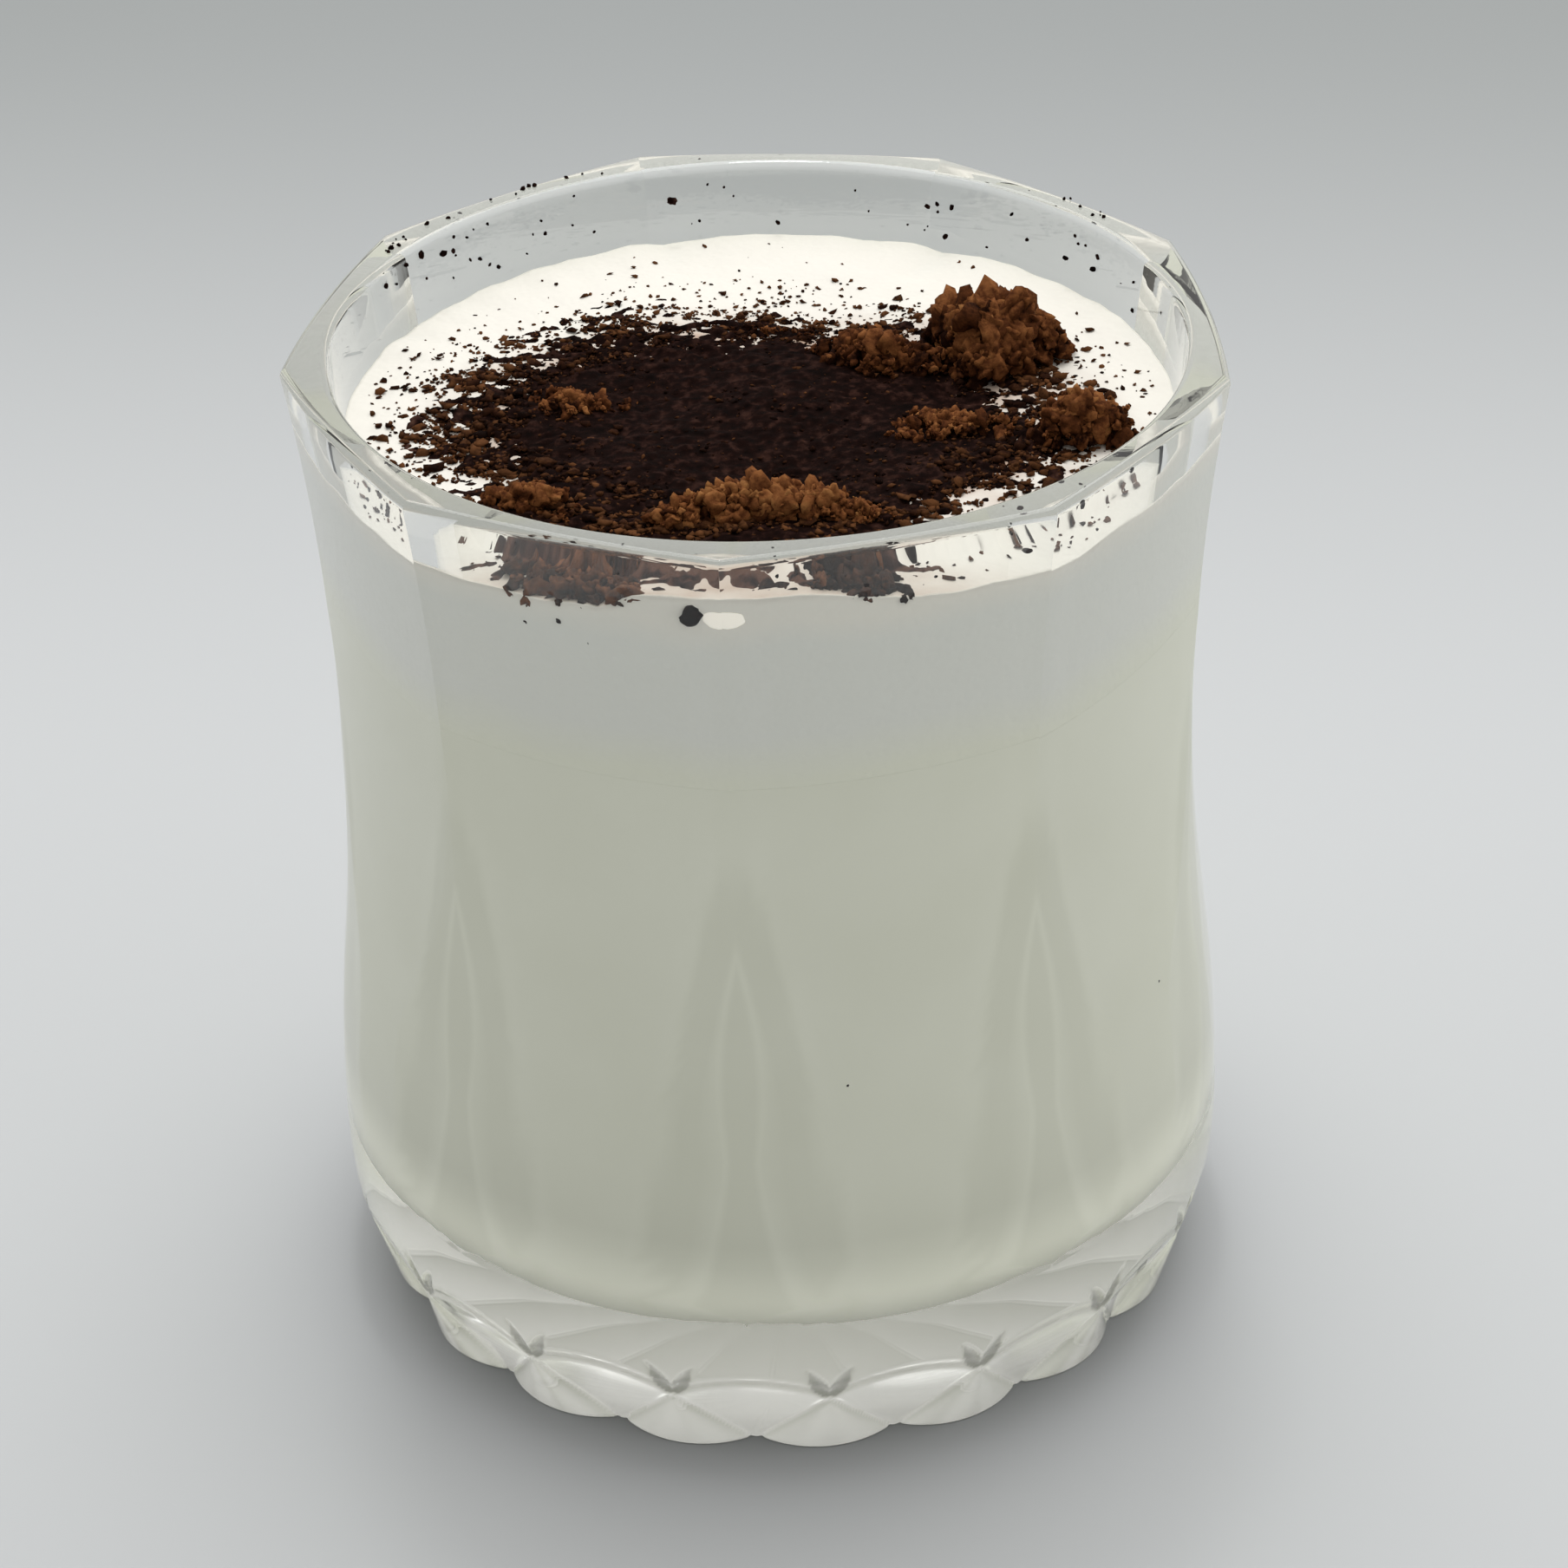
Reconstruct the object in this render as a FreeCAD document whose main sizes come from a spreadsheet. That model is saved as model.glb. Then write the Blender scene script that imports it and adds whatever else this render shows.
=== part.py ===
"""Babyccino: warm milk under a layer of foam dusted with cocoa, in a pressed nine-sided tumbler.

The Z axis runs up the middle of the glass and Z = 0 is the surface it stands on.  One of the nine
ridges of the glass points along -Y, which is its front.  Sizes are in millimetres and degrees.
"""
import FreeCAD, Part
import math
import os
import Sketcher

Vec = FreeCAD.Vector

SIZES = [
    # outside of the glass: slightly convex panels that meet in ridges
    ("panels", 9, "panels round the glass, with a ridge between neighbours"),
    ("glass_height", 89.1, "from the table to the top of the rim"),
    ("panel_rim_reach", 38.4, "axis to the middle of a panel at the rim"),
    ("panel_waist_reach", 35.9, "axis to the middle of a panel at its narrowest"),
    ("panel_waist_level", 58.0, "height of the narrowest place of a panel"),
    ("panel_turn_level", 39.0, "height where a panel stops curving in and starts curving out"),
    ("panel_foot_reach", 39.9, "axis to the middle of a panel where it would stand upright again"),
    ("panel_foot_level", 8.0, "height of that place"),
    ("panel_swing", 77.2, "how far behind the axis of the glass a panel's own axis lies"),
    # outside of the glass: the turned body, which shows as darts below the ridges
    ("dart_rim_reach", 41.0, "radius that the turned body would have at the rim"),
    ("dart_waist_reach", 37.4, "radius of the turned body at its narrowest"),
    ("dart_waist_level", 52.0, "height of the narrowest place of the turned body"),
    ("dart_turn_level", 33.0, "height where the turned body starts curving out"),
    ("bulge_reach", 39.7, "largest radius, low on the glass"),
    ("bulge_level", 14.0, "height of the largest radius"),
    ("foot_reach", 36.9, "radius of the turned body at the table"),
    # outside of the glass: the narrow flats on both sides of each dart
    ("flat_angle", 9.0, "how far a flat faces away from its ridge"),
    ("flat_rim_reach", 41.5, "axis to a flat at the rim, clear of the panels there"),
    ("flat_waist_reach", 37.0, "axis to a flat at its narrowest"),
    ("flat_waist_level", 58.0, "height of the narrowest place of a flat"),
    ("flat_turn_level", 31.0, "height where a flat starts curving out"),
    ("flat_foot_reach", 39.78, "axis to a flat where it would stand upright again"),
    ("flat_foot_level", 11.0, "height of that place"),
    ("rim_round", 0.7, "rounding of the outer edge of the rim"),
    # cut band round the foot
    ("facets_per_panel", 2, "leaning facets round the foot for each panel"),
    ("notch_reach", 34.9, "radius of the notches between the lobes of the foot"),
    ("facet_peak_level", 9.5, "height of the top of each leaning facet"),
    ("facet_peak_reach", 39.4, "radius at the top of each leaning facet"),
    ("crossing_level", 7.3, "height where neighbouring facets meet above a lobe"),
    ("lobe_reach", 36.6, "axis to the tip of a lobe at the table"),
    ("lobe_proud", 0.05, "how far the top of a lobe stands proud of the crossing"),
    ("star_depth", 1.0, "depth of the two cuts that rise from each crossing"),
    ("star_half_width", 1.0, "half the width of such a cut at its deep end"),
    ("star_climb", 5.0, "how far such a cut climbs"),
    ("star_spread", 3.6, "how far such a cut runs sideways"),
    # inside of the glass
    ("bore_rim_radius", 35.9, "inside radius at the rim"),
    ("bore_neck_radius", 33.4, "inside radius at the waist"),
    ("bore_neck_level", 58.0, "height of the waist inside"),
    ("bore_floor_radius", 32.6, "inside radius where the wall turns into the floor"),
    ("base_thickness", 11.5, "thickness of glass under the drink"),
    ("floor_fillet", 7.0, "radius between the inner wall and the floor"),
    # drink
    ("milk_level", 66.5, "height where the milk ends and the foam begins"),
    ("foam_level", 82.6, "mean height of the top of the foam"),
    ("foam_swell", 0.45, "how far the top of the foam rises and falls"),
    ("foam_wave", 27.0, "distance between swells of the foam"),
    ("foam_span", 39.7, "half the side of the square on which the top of the foam is worked out"),
    ("seat_gap", 0.02, "clearance between the drink and the wall of the glass"),
    # cocoa dusting
    ("dust_thickness", 0.7, "thickness of the cocoa dusting"),
    ("dust_length", 47.0, "cocoa dusting from left to right"),
    ("dust_width", 37.0, "cocoa dusting from front to back"),
    ("dust_back", -2.5, "middle of the dusting, measured back from the axis"),
    ("dust_ripple", 1.5, "how far the outline of the dusting waves in and out"),
]

# cocoa lumps: name, right of the axis, back from the axis, length, width, height, turn, crumbs
LUMPS = [
    ("pile", 19.5, 10.0, 13.0, 10.0, 6.0, -15.0, 8),
    ("ridge", 8.5, 8.5, 13.0, 5.0, 2.8, -12.0, 11),
    ("right", 27.3, -3.5, 8.5, 6.5, 4.2, 0.0, 6),
    ("front", 1.5, -20.0, 18.0, 6.0, 3.2, 5.0, 8),
    ("wall_left", -14.5, -27.0, 12.0, 5.0, 3.0, -28.0, 6),
    ("wall_right", 8.0, -29.5, 9.0, 5.0, 3.0, 15.0, 6),
]
LUMP_SIZES = ("right", "back", "length", "width", "height", "turn", "crumbs")
PANEL_CELLS = ("panel_rim_reach", "panel_waist_reach", "panel_waist_level", "panel_turn_level",
               "panel_foot_reach", "panel_foot_level")
FLAT_CELLS = ("flat_rim_reach", "flat_waist_reach", "flat_waist_level", "flat_turn_level",
              "flat_foot_reach", "flat_foot_level")

FLANK_SHARE = 0.6       # turn of a flank's groove about its own axis, as a share of a panel
CRUMB_TURN = 137.5      # degrees between crumbs, so that they never line up
FOAM_GRID = 13          # points each way that carry the top of the foam
OUTLINE_POINTS = 40     # points that carry the wavy outline of the dusting
CUT_MARGIN = 2.0        # how far a cut reaches past what it removes
FOAM_TILT = 0.6         # fall of the foam from the axis to the back of its span, in swells
FOAM_PHASES = (0.8, 0.4)            # where its swells start across and front to back
FOAM_DEPTH_PACE = 0.9   # how quickly the swells follow each other front to back, beside across
DUST_WAVES = ((5, 1.0, 0.6), (9, 0.6, 2.0))     # waves round the dusting: count, share, start
CRUMB_LARGEST = 0.62    # radius of the middle crumb of a lump, as a share of its height
CRUMB_TAPER = 0.22      # how much smaller the outermost crumb is, in the same share
CRUMB_FALL = 0.45       # how far the outermost crumb sinks, in the same share
CRUMB_OFFSET = 0.3      # keeps the first crumb a little off the middle of its lump


def make_sheet(doc):
    """Put every driving size into a spreadsheet cell that has its name as alias."""
    sheet = doc.addObject("Spreadsheet::Sheet", "sizes")
    rows = list(SIZES)
    for lump in LUMPS:
        for size, value in zip(LUMP_SIZES, lump[1:]):
            rows.append((lump[0] + "_lump_" + size, value, "cocoa lump " + lump[0] + ": " + size))
    for row, (name, value, note) in enumerate(rows, start=1):
        sheet.set("A%d" % row, name)
        sheet.set("B%d" % row, str(value))
        sheet.set("C%d" % row, note)
        sheet.setAlias("B%d" % row, name)
    doc.recompute()
    return sheet


def turning_point(waist, turn_level, foot):
    """Give the point and the lean where two arcs meet that stand upright at waist and foot."""
    rise = foot[0] - waist[0]
    drop = waist[1] - foot[1]
    lean = 2 * math.atan2(rise, drop)
    share = (waist[1] - turn_level) / drop
    return (waist[0] + rise * share, turn_level), lean


class Outline:
    """A sketch on the XZ plane of a body: radius runs across and height runs up."""

    def __init__(self, body, name, turn="0"):
        self.sketch = body.newObject("Sketcher::SketchObject", name)
        plane = [one for one in body.Origin.OriginFeatures if one.Role == "XZ_Plane"][0]
        self.sketch.AttachmentSupport = [(plane, "")]
        self.sketch.MapMode = "FlatFace"
        self.sketch.AttachmentOffset = FreeCAD.Placement(Vec(), FreeCAD.Rotation(Vec(0, 1, 0), 1))
        self.sketch.setExpression("AttachmentOffset.Rotation.Angle", turn)

    def line(self, start, end, construction=False):
        """Add a straight edge and give its number."""
        ends = [Vec(across, up, 0) for across, up in (start, end)]
        return self.sketch.addGeometry(Part.LineSegment(*ends), construction)

    def arc(self, centre, start, end):
        """Add the shorter arc between two points about a centre.

        Gives the edge's number with its point numbers at start and end, which swap on a clockwise
        arc, because a sketch keeps every arc anticlockwise.
        """
        hub, first, last = [Vec(across, up, 0) for across, up in (centre, start, end)]
        middle = (first - hub) + (last - hub)
        middle.normalize()
        middle = hub + middle * (first - hub).Length
        if (first - hub).cross(last - hub).z < 0:
            return self.sketch.addGeometry(Part.Arc(last, middle, first), False), 2, 1
        return self.sketch.addGeometry(Part.Arc(first, middle, last), False), 1, 2

    def meet(self, edge, point, other, other_point):
        """Make two edge points coincide."""
        self.sketch.addConstraint(Sketcher.Constraint("Coincident", edge, point, other, other_point))

    def place(self, edge, point, across, up):
        """Tie the distances of a point from the two axes to expressions; None leaves one free."""
        for kind, axis, text in (("DistanceX", -2, across), ("DistanceY", -1, up)):
            if text == "0":
                self.sketch.addConstraint(Sketcher.Constraint("PointOnObject", edge, point, axis))
            elif text:
                size = float(self.sketch.evalExpression(text))
                number = self.sketch.addConstraint(
                    Sketcher.Constraint(kind, -1, 1, edge, point, size))
                self.sketch.setExpression("Constraints[%d]" % number, text)


def value(sheet, name):
    """Read a size from the sheet."""
    return float(sheet.get(name))


def cell(name):
    """Give the expression that reads a size from the sheet."""
    return "sizes." + name


def add_flared_side(outline, sheet, rim, waist, waist_level, turn_level, foot, foot_level):
    """Draw a side that flares to the rim, narrows at the waist and swells again below.

    The sizes are names of cells.  Gives the two open ends, at the rim and at the foot, as pairs of
    an edge and its point.
    """
    top = (value(sheet, rim), value(sheet, "glass_height"))
    neck = (value(sheet, waist), value(sheet, waist_level))
    base = (value(sheet, foot), value(sheet, foot_level))
    turning, lean = turning_point(neck, value(sheet, turn_level), base)
    flare = ((top[0] - neck[0]) ** 2 + (top[1] - neck[1]) ** 2) / (2 * (top[0] - neck[0]))
    inward = (neck[1] - turning[1]) / math.sin(lean)
    outward = (turning[1] - base[1]) / math.sin(lean)
    upper, upper_top, upper_neck = outline.arc((neck[0] + flare, neck[1]), top, neck)
    middle, middle_neck, middle_turn = outline.arc((neck[0] + inward, neck[1]), neck, turning)
    lower, lower_turn, lower_base = outline.arc((base[0] - outward, base[1]), turning, base)
    centre = 3
    outline.place(upper, upper_top, cell(rim), cell("glass_height"))
    outline.place(upper, upper_neck, cell(waist), cell(waist_level))
    outline.place(upper, centre, None, cell(waist_level))
    outline.meet(middle, middle_neck, upper, upper_neck)
    outline.place(middle, centre, None, cell(waist_level))
    outline.place(lower, lower_turn, None, cell(turn_level))
    outline.place(lower, lower_base, cell(foot), cell(foot_level))
    outline.place(lower, centre, None, cell(foot_level))
    outline.sketch.addConstraint(
        Sketcher.Constraint("Tangent", middle, middle_turn, lower, lower_turn))
    return (upper, upper_top), (lower, lower_base)


def draw_open_side(outline, top, base, reach):
    """Close a side towards the outside, so that the region beyond it can be cut away."""
    (upper, upper_end), (lower, lower_end) = top, base
    points = outline.sketch.getPoint(upper, upper_end), outline.sketch.getPoint(lower, lower_end)
    above = points[0].y + CUT_MARGIN
    below = -CUT_MARGIN
    rise = outline.line((points[0].x, points[0].y), (points[0].x, above))
    over = outline.line((points[0].x, above), (reach, above))
    fall = outline.line((reach, above), (reach, below))
    under = outline.line((reach, below), (points[1].x, below))
    back = outline.line((points[1].x, below), (points[1].x, points[1].y))
    for first, second in ((rise, over), (over, fall), (fall, under), (under, back)):
        outline.meet(first, 2, second, 1)
    outline.meet(rise, 1, upper, upper_end)
    outline.meet(back, 2, lower, lower_end)
    for edge, kind in ((rise, "Vertical"), (over, "Horizontal"), (fall, "Vertical"),
                       (under, "Horizontal"), (back, "Vertical")):
        outline.sketch.addConstraint(Sketcher.Constraint(kind, edge))
    outline.place(rise, 2, None, "sizes.glass_height + %g" % CUT_MARGIN)
    outline.place(
        fall, 1, "max(sizes.dart_rim_reach; sizes.bulge_reach) + %g" % (2 * CUT_MARGIN), None)
    outline.sketch.addConstraint(Sketcher.Constraint("DistanceY", fall, 2, -1, 1, CUT_MARGIN))


def cut_flanks(body, sheet, name, turn, cells):
    """Cut one upright flank into the turned body and repeat it at every panel."""
    outline = Outline(body, name + "_outline", turn)
    swing = value(sheet, "panel_swing")
    axis = outline.line((-swing, 0), (-swing, CUT_MARGIN), construction=True)
    outline.place(axis, 1, None, "0")
    outline.sketch.addConstraint(Sketcher.Constraint("Vertical", axis))
    outline.sketch.addConstraint(Sketcher.Constraint("DistanceY", axis, 1, axis, 2, CUT_MARGIN))
    number = outline.sketch.addConstraint(
        Sketcher.Constraint("DistanceX", axis, 1, -1, 1, swing))
    outline.sketch.setExpression("Constraints[%d]" % number, "sizes.panel_swing")
    top, base = add_flared_side(outline, sheet, *cells)
    widest = max(value(sheet, "dart_rim_reach"), value(sheet, "bulge_reach"))
    draw_open_side(outline, top, base, widest + 2 * CUT_MARGIN)
    body.Document.recompute()
    groove = body.newObject("PartDesign::Groove", name)
    groove.Profile = outline.sketch
    groove.ReferenceAxis = (outline.sketch, ["Axis0"])
    groove.Midplane = True
    groove.setExpression("Angle", "360 / sizes.panels * %g" % FLANK_SHARE)
    body.Document.recompute()
    repeat_around(body, groove, "sizes.panels")


def repeat_around(body, feature, count):
    """Repeat a feature evenly round the Z axis."""
    pattern = body.newObject("PartDesign::PolarPattern", feature.Name + "_ring")
    pattern.Originals = [feature]
    axis = [one for one in body.Origin.OriginFeatures if one.Role == "Z_Axis"][0]
    pattern.Axis = (axis, [""])
    pattern.Angle = 360
    pattern.setExpression("Occurrences", count)
    body.Tip = pattern
    body.Document.recompute()


def turn_blank(body, sheet):
    """Turn the outer shape of the glass as one solid."""
    outline = Outline(body, "turned_outline")
    cells = ("dart_rim_reach", "dart_waist_reach", "dart_waist_level", "dart_turn_level",
             "bulge_reach", "bulge_level")
    (upper, upper_end), (lower, lower_end) = add_flared_side(outline, sheet, *cells)
    height, bulge, level, foot = [value(sheet, name) for name in (
        "glass_height", "bulge_reach", "bulge_level", "foot_reach")]
    shoulder = ((bulge - foot) ** 2 + level ** 2) / (2 * (bulge - foot))
    curve, curve_top, curve_foot = outline.arc((bulge - shoulder, level), (bulge, level), (foot, 0))
    outline.meet(curve, curve_top, lower, lower_end)
    outline.place(curve, 3, None, "sizes.bulge_level")
    outline.place(curve, curve_foot, "sizes.foot_reach", "0")
    under = outline.line((foot, 0), (0, 0))
    middle = outline.line((0, 0), (0, height))
    over = outline.line((0, height), (value(sheet, "dart_rim_reach"), height))
    outline.meet(under, 1, curve, curve_foot)
    outline.place(under, 2, "0", "0")
    outline.meet(middle, 1, under, 2)
    outline.meet(over, 1, middle, 2)
    outline.meet(over, 2, upper, upper_end)
    outline.sketch.addConstraint(Sketcher.Constraint("Horizontal", over))
    outline.sketch.addConstraint(Sketcher.Constraint("Vertical", middle))
    body.Document.recompute()
    turned = body.newObject("PartDesign::Revolution", "turned_blank")
    turned.Profile = outline.sketch
    turned.ReferenceAxis = (outline.sketch, ["V_Axis"])
    turned.Angle = 360
    body.Document.recompute()


def draw_inside(outline, sheet, gap):
    """Draw the inside of the glass from the middle of its floor up to the rim, and close it."""
    text = {name: cell(name) + gap for name in (
        "bore_rim_radius", "bore_neck_radius", "bore_floor_radius")}
    rim, neck, floor = [float(outline.sketch.evalExpression(text[name])) for name in text]
    height, level, base, fillet = [value(sheet, name) for name in (
        "glass_height", "bore_neck_level", "base_thickness", "floor_fillet")]
    flare = ((rim - neck) ** 2 + (height - level) ** 2) / (2 * (rim - neck))
    upper, upper_top, upper_neck = outline.arc((neck + flare, level), (rim, height), (neck, level))
    wall = outline.line((neck, level), (floor, base + fillet))
    corner, corner_wall, corner_floor = outline.arc(
        (floor - fillet, base + fillet), (floor, base + fillet), (floor - fillet, base))
    bottom = outline.line((floor - fillet, base), (0, base))
    middle = outline.line((0, base), (0, height))
    over = outline.line((0, height), (rim, height))
    outline.place(upper, upper_top, text["bore_rim_radius"], "sizes.glass_height")
    outline.place(upper, upper_neck, text["bore_neck_radius"], "sizes.bore_neck_level")
    outline.place(upper, 3, None, "sizes.bore_neck_level")
    outline.meet(wall, 1, upper, upper_neck)
    outline.place(wall, 2, text["bore_floor_radius"], "sizes.base_thickness + sizes.floor_fillet")
    outline.meet(corner, corner_wall, wall, 2)
    outline.place(corner, 3, None, "sizes.base_thickness + sizes.floor_fillet")
    outline.sketch.addConstraint(
        Sketcher.Constraint("Tangent", corner, corner_floor, bottom, 1))
    outline.place(bottom, 2, "0", "sizes.base_thickness")
    outline.sketch.addConstraint(Sketcher.Constraint("Horizontal", bottom))
    outline.meet(middle, 1, bottom, 2)
    outline.meet(over, 1, middle, 2)
    outline.meet(over, 2, upper, upper_top)
    outline.sketch.addConstraint(Sketcher.Constraint("Horizontal", over))
    outline.sketch.addConstraint(Sketcher.Constraint("Vertical", middle))


def bore_glass(body, sheet):
    """Hollow the glass out from its rim down to its floor."""
    outline = Outline(body, "bore_outline")
    draw_inside(outline, sheet, "")
    body.Document.recompute()
    bore = body.newObject("PartDesign::Groove", "bore")
    bore.Profile = outline.sketch
    bore.ReferenceAxis = (outline.sketch, ["V_Axis"])
    bore.Angle = 360
    body.Document.recompute()


def cut_foot(body, sheet, name, turn, low, high):
    """Cut a flat leaning face at the foot and repeat it for every facet.

    low and high are the expressions of two points of the face in its middle, each a pair of its
    distance from the axis and its height.
    """
    outline = Outline(body, name + "_outline", turn)
    (low_x, low_y), (high_x, high_y) = [
        [float(outline.sketch.evalExpression(text)) for text in pair] for pair in (low, high)]
    lean = (high_x - low_x) / (high_y - low_y)
    above = value(sheet, "bulge_level") + CUT_MARGIN
    reach = value(sheet, "bulge_reach") + 2 * CUT_MARGIN
    corners = [(low_x - lean * CUT_MARGIN, -CUT_MARGIN), (low_x + lean * above, above),
               (reach, above), (reach, -CUT_MARGIN)]
    edges = [outline.line(start, end) for start, end in zip(corners, corners[1:] + corners[:1])]
    for first, second in zip(edges, edges[1:] + edges[:1]):
        outline.meet(first, 2, second, 1)
    marks = [outline.sketch.addGeometry(Part.Point(Vec(across, up, 0)), True)
             for across, up in ((low_x, low_y), (high_x, high_y))]
    for mark, (across, up) in zip(marks, (low, high)):
        outline.place(mark, 1, across, up)
        outline.sketch.addConstraint(Sketcher.Constraint("PointOnObject", mark, 1, edges[0]))
    outline.sketch.addConstraint(Sketcher.Constraint("DistanceY", edges[0], 1, -1, 1, CUT_MARGIN))
    outline.place(edges[1], 1, None, "sizes.bulge_level + %g" % CUT_MARGIN)
    outline.place(edges[2], 1, "sizes.bulge_reach + %g" % (2 * CUT_MARGIN), None)
    for edge, kind in ((edges[1], "Horizontal"), (edges[2], "Vertical"), (edges[3], "Horizontal")):
        outline.sketch.addConstraint(Sketcher.Constraint(kind, edge))
    body.Document.recompute()
    pocket = body.newObject("PartDesign::Pocket", name)
    pocket.Profile = outline.sketch
    pocket.Midplane = True
    pocket.setExpression("Length", "sizes.bulge_reach")
    body.Document.recompute()
    repeat_around(body, pocket, "sizes.panels * sizes.facets_per_panel")


def shaped(doc, name, shape):
    """Add an object that holds a shape worked out here."""
    item = doc.addObject("Part::Feature", name)
    item.Shape = shape
    return item


def combined(doc, kind, name, **links):
    """Add a Part boolean of this kind between other objects."""
    item = doc.addObject("Part::" + kind, name)
    for link, target in links.items():
        setattr(item, link, target)
    return item


def solid_from_corners(corners, faces):
    """Make a solid with flat faces from its corners and the corner numbers of each face."""
    sides = [Part.Face(Part.makePolygon([corners[i] for i in face + face[:1]])) for face in faces]
    return Part.Solid(Part.Shell(sides))


def crossing_reach(sheet):
    """Give the distance from the axis to the corners where neighbouring facets meet."""
    notch, peak, peak_level, level = [value(sheet, name) for name in (
        "notch_reach", "facet_peak_reach", "facet_peak_level", "crossing_level")]
    half = math.radians(180 / (value(sheet, "panels") * value(sheet, "facets_per_panel")))
    return (notch + (peak - notch) * level / peak_level) / math.cos(half), half


def make_lobe(sheet):
    """Make one lobe of the foot along +X: straight lines from a round edge to the crossing."""
    reach, half = crossing_reach(sheet)
    notch = value(sheet, "notch_reach")
    rise = value(sheet, "lobe_reach") - notch * math.cos(half)
    radius = (rise ** 2 + (notch * math.sin(half)) ** 2) / (2 * rise)
    centre = Vec(value(sheet, "lobe_reach") - radius, 0, 0)
    edge = Part.Wire(Part.makeCircle(radius, centre))
    proud = value(sheet, "lobe_proud")
    tip = Part.Vertex(Vec(reach + proud, 0, value(sheet, "crossing_level") + proud))
    return Part.makeLoft([edge, tip], True, True)


def make_star_cut(sheet, side):
    """Make one of the two wedges that rise from the crossing on +X, to the side of the given sign."""
    reach, _ = crossing_reach(sheet)
    depth, width, climb, spread, level, bulge = [value(sheet, name) for name in (
        "star_depth", "star_half_width", "star_climb", "star_spread", "crossing_level",
        "bulge_reach")]
    along = Vec(0, side * spread, climb).normalize()
    across = Vec(0, -along.z, along.y)
    start = Vec(reach, 0, level)
    end = Vec(math.sqrt(bulge ** 2 - spread ** 2), side * spread, level + climb)
    clear = Vec(depth, 0, 0)
    opening = 2 * width
    tail = width
    corners = [start - Vec(depth, 0, 0), start + clear + across * opening,
               start + clear - across * opening, end, end + clear + across * tail,
               end + clear - across * tail]
    faces = [[0, 1, 2], [3, 5, 4], [0, 3, 4], [0, 4, 1], [0, 2, 5], [0, 5, 3], [1, 4, 5], [1, 5, 2]]
    return solid_from_corners(corners, faces)


def ring_of(shapes, sheet):
    """Repeat shapes that lie on +X at every lobe and fuse them."""
    count = round(value(sheet, "panels") * value(sheet, "facets_per_panel"))
    copies = []
    for place in range(count):
        for shape in shapes:
            turned = shape.copy()
            turned.rotate(Vec(), Vec(0, 0, 1), -90 + 360 / count * (place + 0.5))
            copies.append(turned)
    return copies[0].multiFuse(copies[1:])


def build_glass(doc, sheet):
    """Build the tumbler: panels, darts and flats over a cut foot, hollowed out from the rim."""
    body = doc.addObject("PartDesign::Body", "glass_blank")
    doc.recompute()
    turn_blank(body, sheet)
    cut_flanks(body, sheet, "panel", "180 / sizes.panels - 90", PANEL_CELLS)
    cut_flanks(body, sheet, "flat_left", "-90 - sizes.flat_angle", FLAT_CELLS)
    cut_flanks(body, sheet, "flat_right", "-90 + sizes.flat_angle", FLAT_CELLS)
    cut_foot(body, sheet, "foot_facet", "-90", ("sizes.notch_reach", "0"),
             ("sizes.facet_peak_reach", "sizes.facet_peak_level"))
    half = "(180 deg / (sizes.panels * sizes.facets_per_panel))"
    lean = "(sizes.facet_peak_reach - sizes.notch_reach) / sizes.facet_peak_level"
    cut_foot(body, sheet, "lobe_seat", "-90 + 180 / (sizes.panels * sizes.facets_per_panel)",
             ("sizes.notch_reach * cos(%s)" % half, "0"),
             ("(sizes.notch_reach + sizes.crossing_level * %s) / cos(%s)" % (lean, half),
              "sizes.crossing_level"))
    bore_glass(body, sheet)
    lobes = shaped(doc, "foot_lobes", ring_of([make_lobe(sheet)], sheet))
    stars = shaped(doc, "star_cuts", ring_of([make_star_cut(sheet, 1), make_star_cut(sheet, -1)],
                                             sheet))
    lobed = combined(doc, "Fuse", "lobed_glass", Base=body, Tool=lobes)
    doc.recompute()
    starred = combined(doc, "Cut", "starred_glass", Base=lobed, Tool=stars)
    doc.recompute()
    rounded = doc.addObject("Part::Fillet", "glass")
    rounded.Base = starred
    top = value(sheet, "glass_height")
    inside = value(sheet, "bore_rim_radius") + value(sheet, "rim_round")
    rounded.Edges = [
        (number, value(sheet, "rim_round"), value(sheet, "rim_round"))
        for number, edge in enumerate(starred.Shape.Edges, start=1)
        if all(abs(corner.Z - top) < 0.01 and math.hypot(corner.X, corner.Y) > inside
               for corner in edge.Vertexes)]
    doc.recompute()
    return rounded


def foam_top(sheet, lift):
    """Make the gently swelling top of the foam as one smooth face, raised by lift."""
    reach, level, swell, wave = [value(sheet, name) for name in (
        "foam_span", "foam_level", "foam_swell", "foam_wave")]
    step = 2 * reach / (FOAM_GRID - 1)
    turns = 2 * math.pi / wave
    rows = []
    for row in range(FOAM_GRID):
        across = -reach + step * row
        rows.append([])
        for column in range(FOAM_GRID):
            back = -reach + step * column
            wobble = math.sin(turns * across + FOAM_PHASES[0])
            wobble *= math.cos(turns * back * FOAM_DEPTH_PACE - FOAM_PHASES[1])
            rise = swell * (wobble - FOAM_TILT * back / reach)
            rows[-1].append(Vec(across, back, level + lift + rise))
    surface = Part.BSplineSurface()
    surface.interpolate(rows)
    return surface.toShape()


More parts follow.
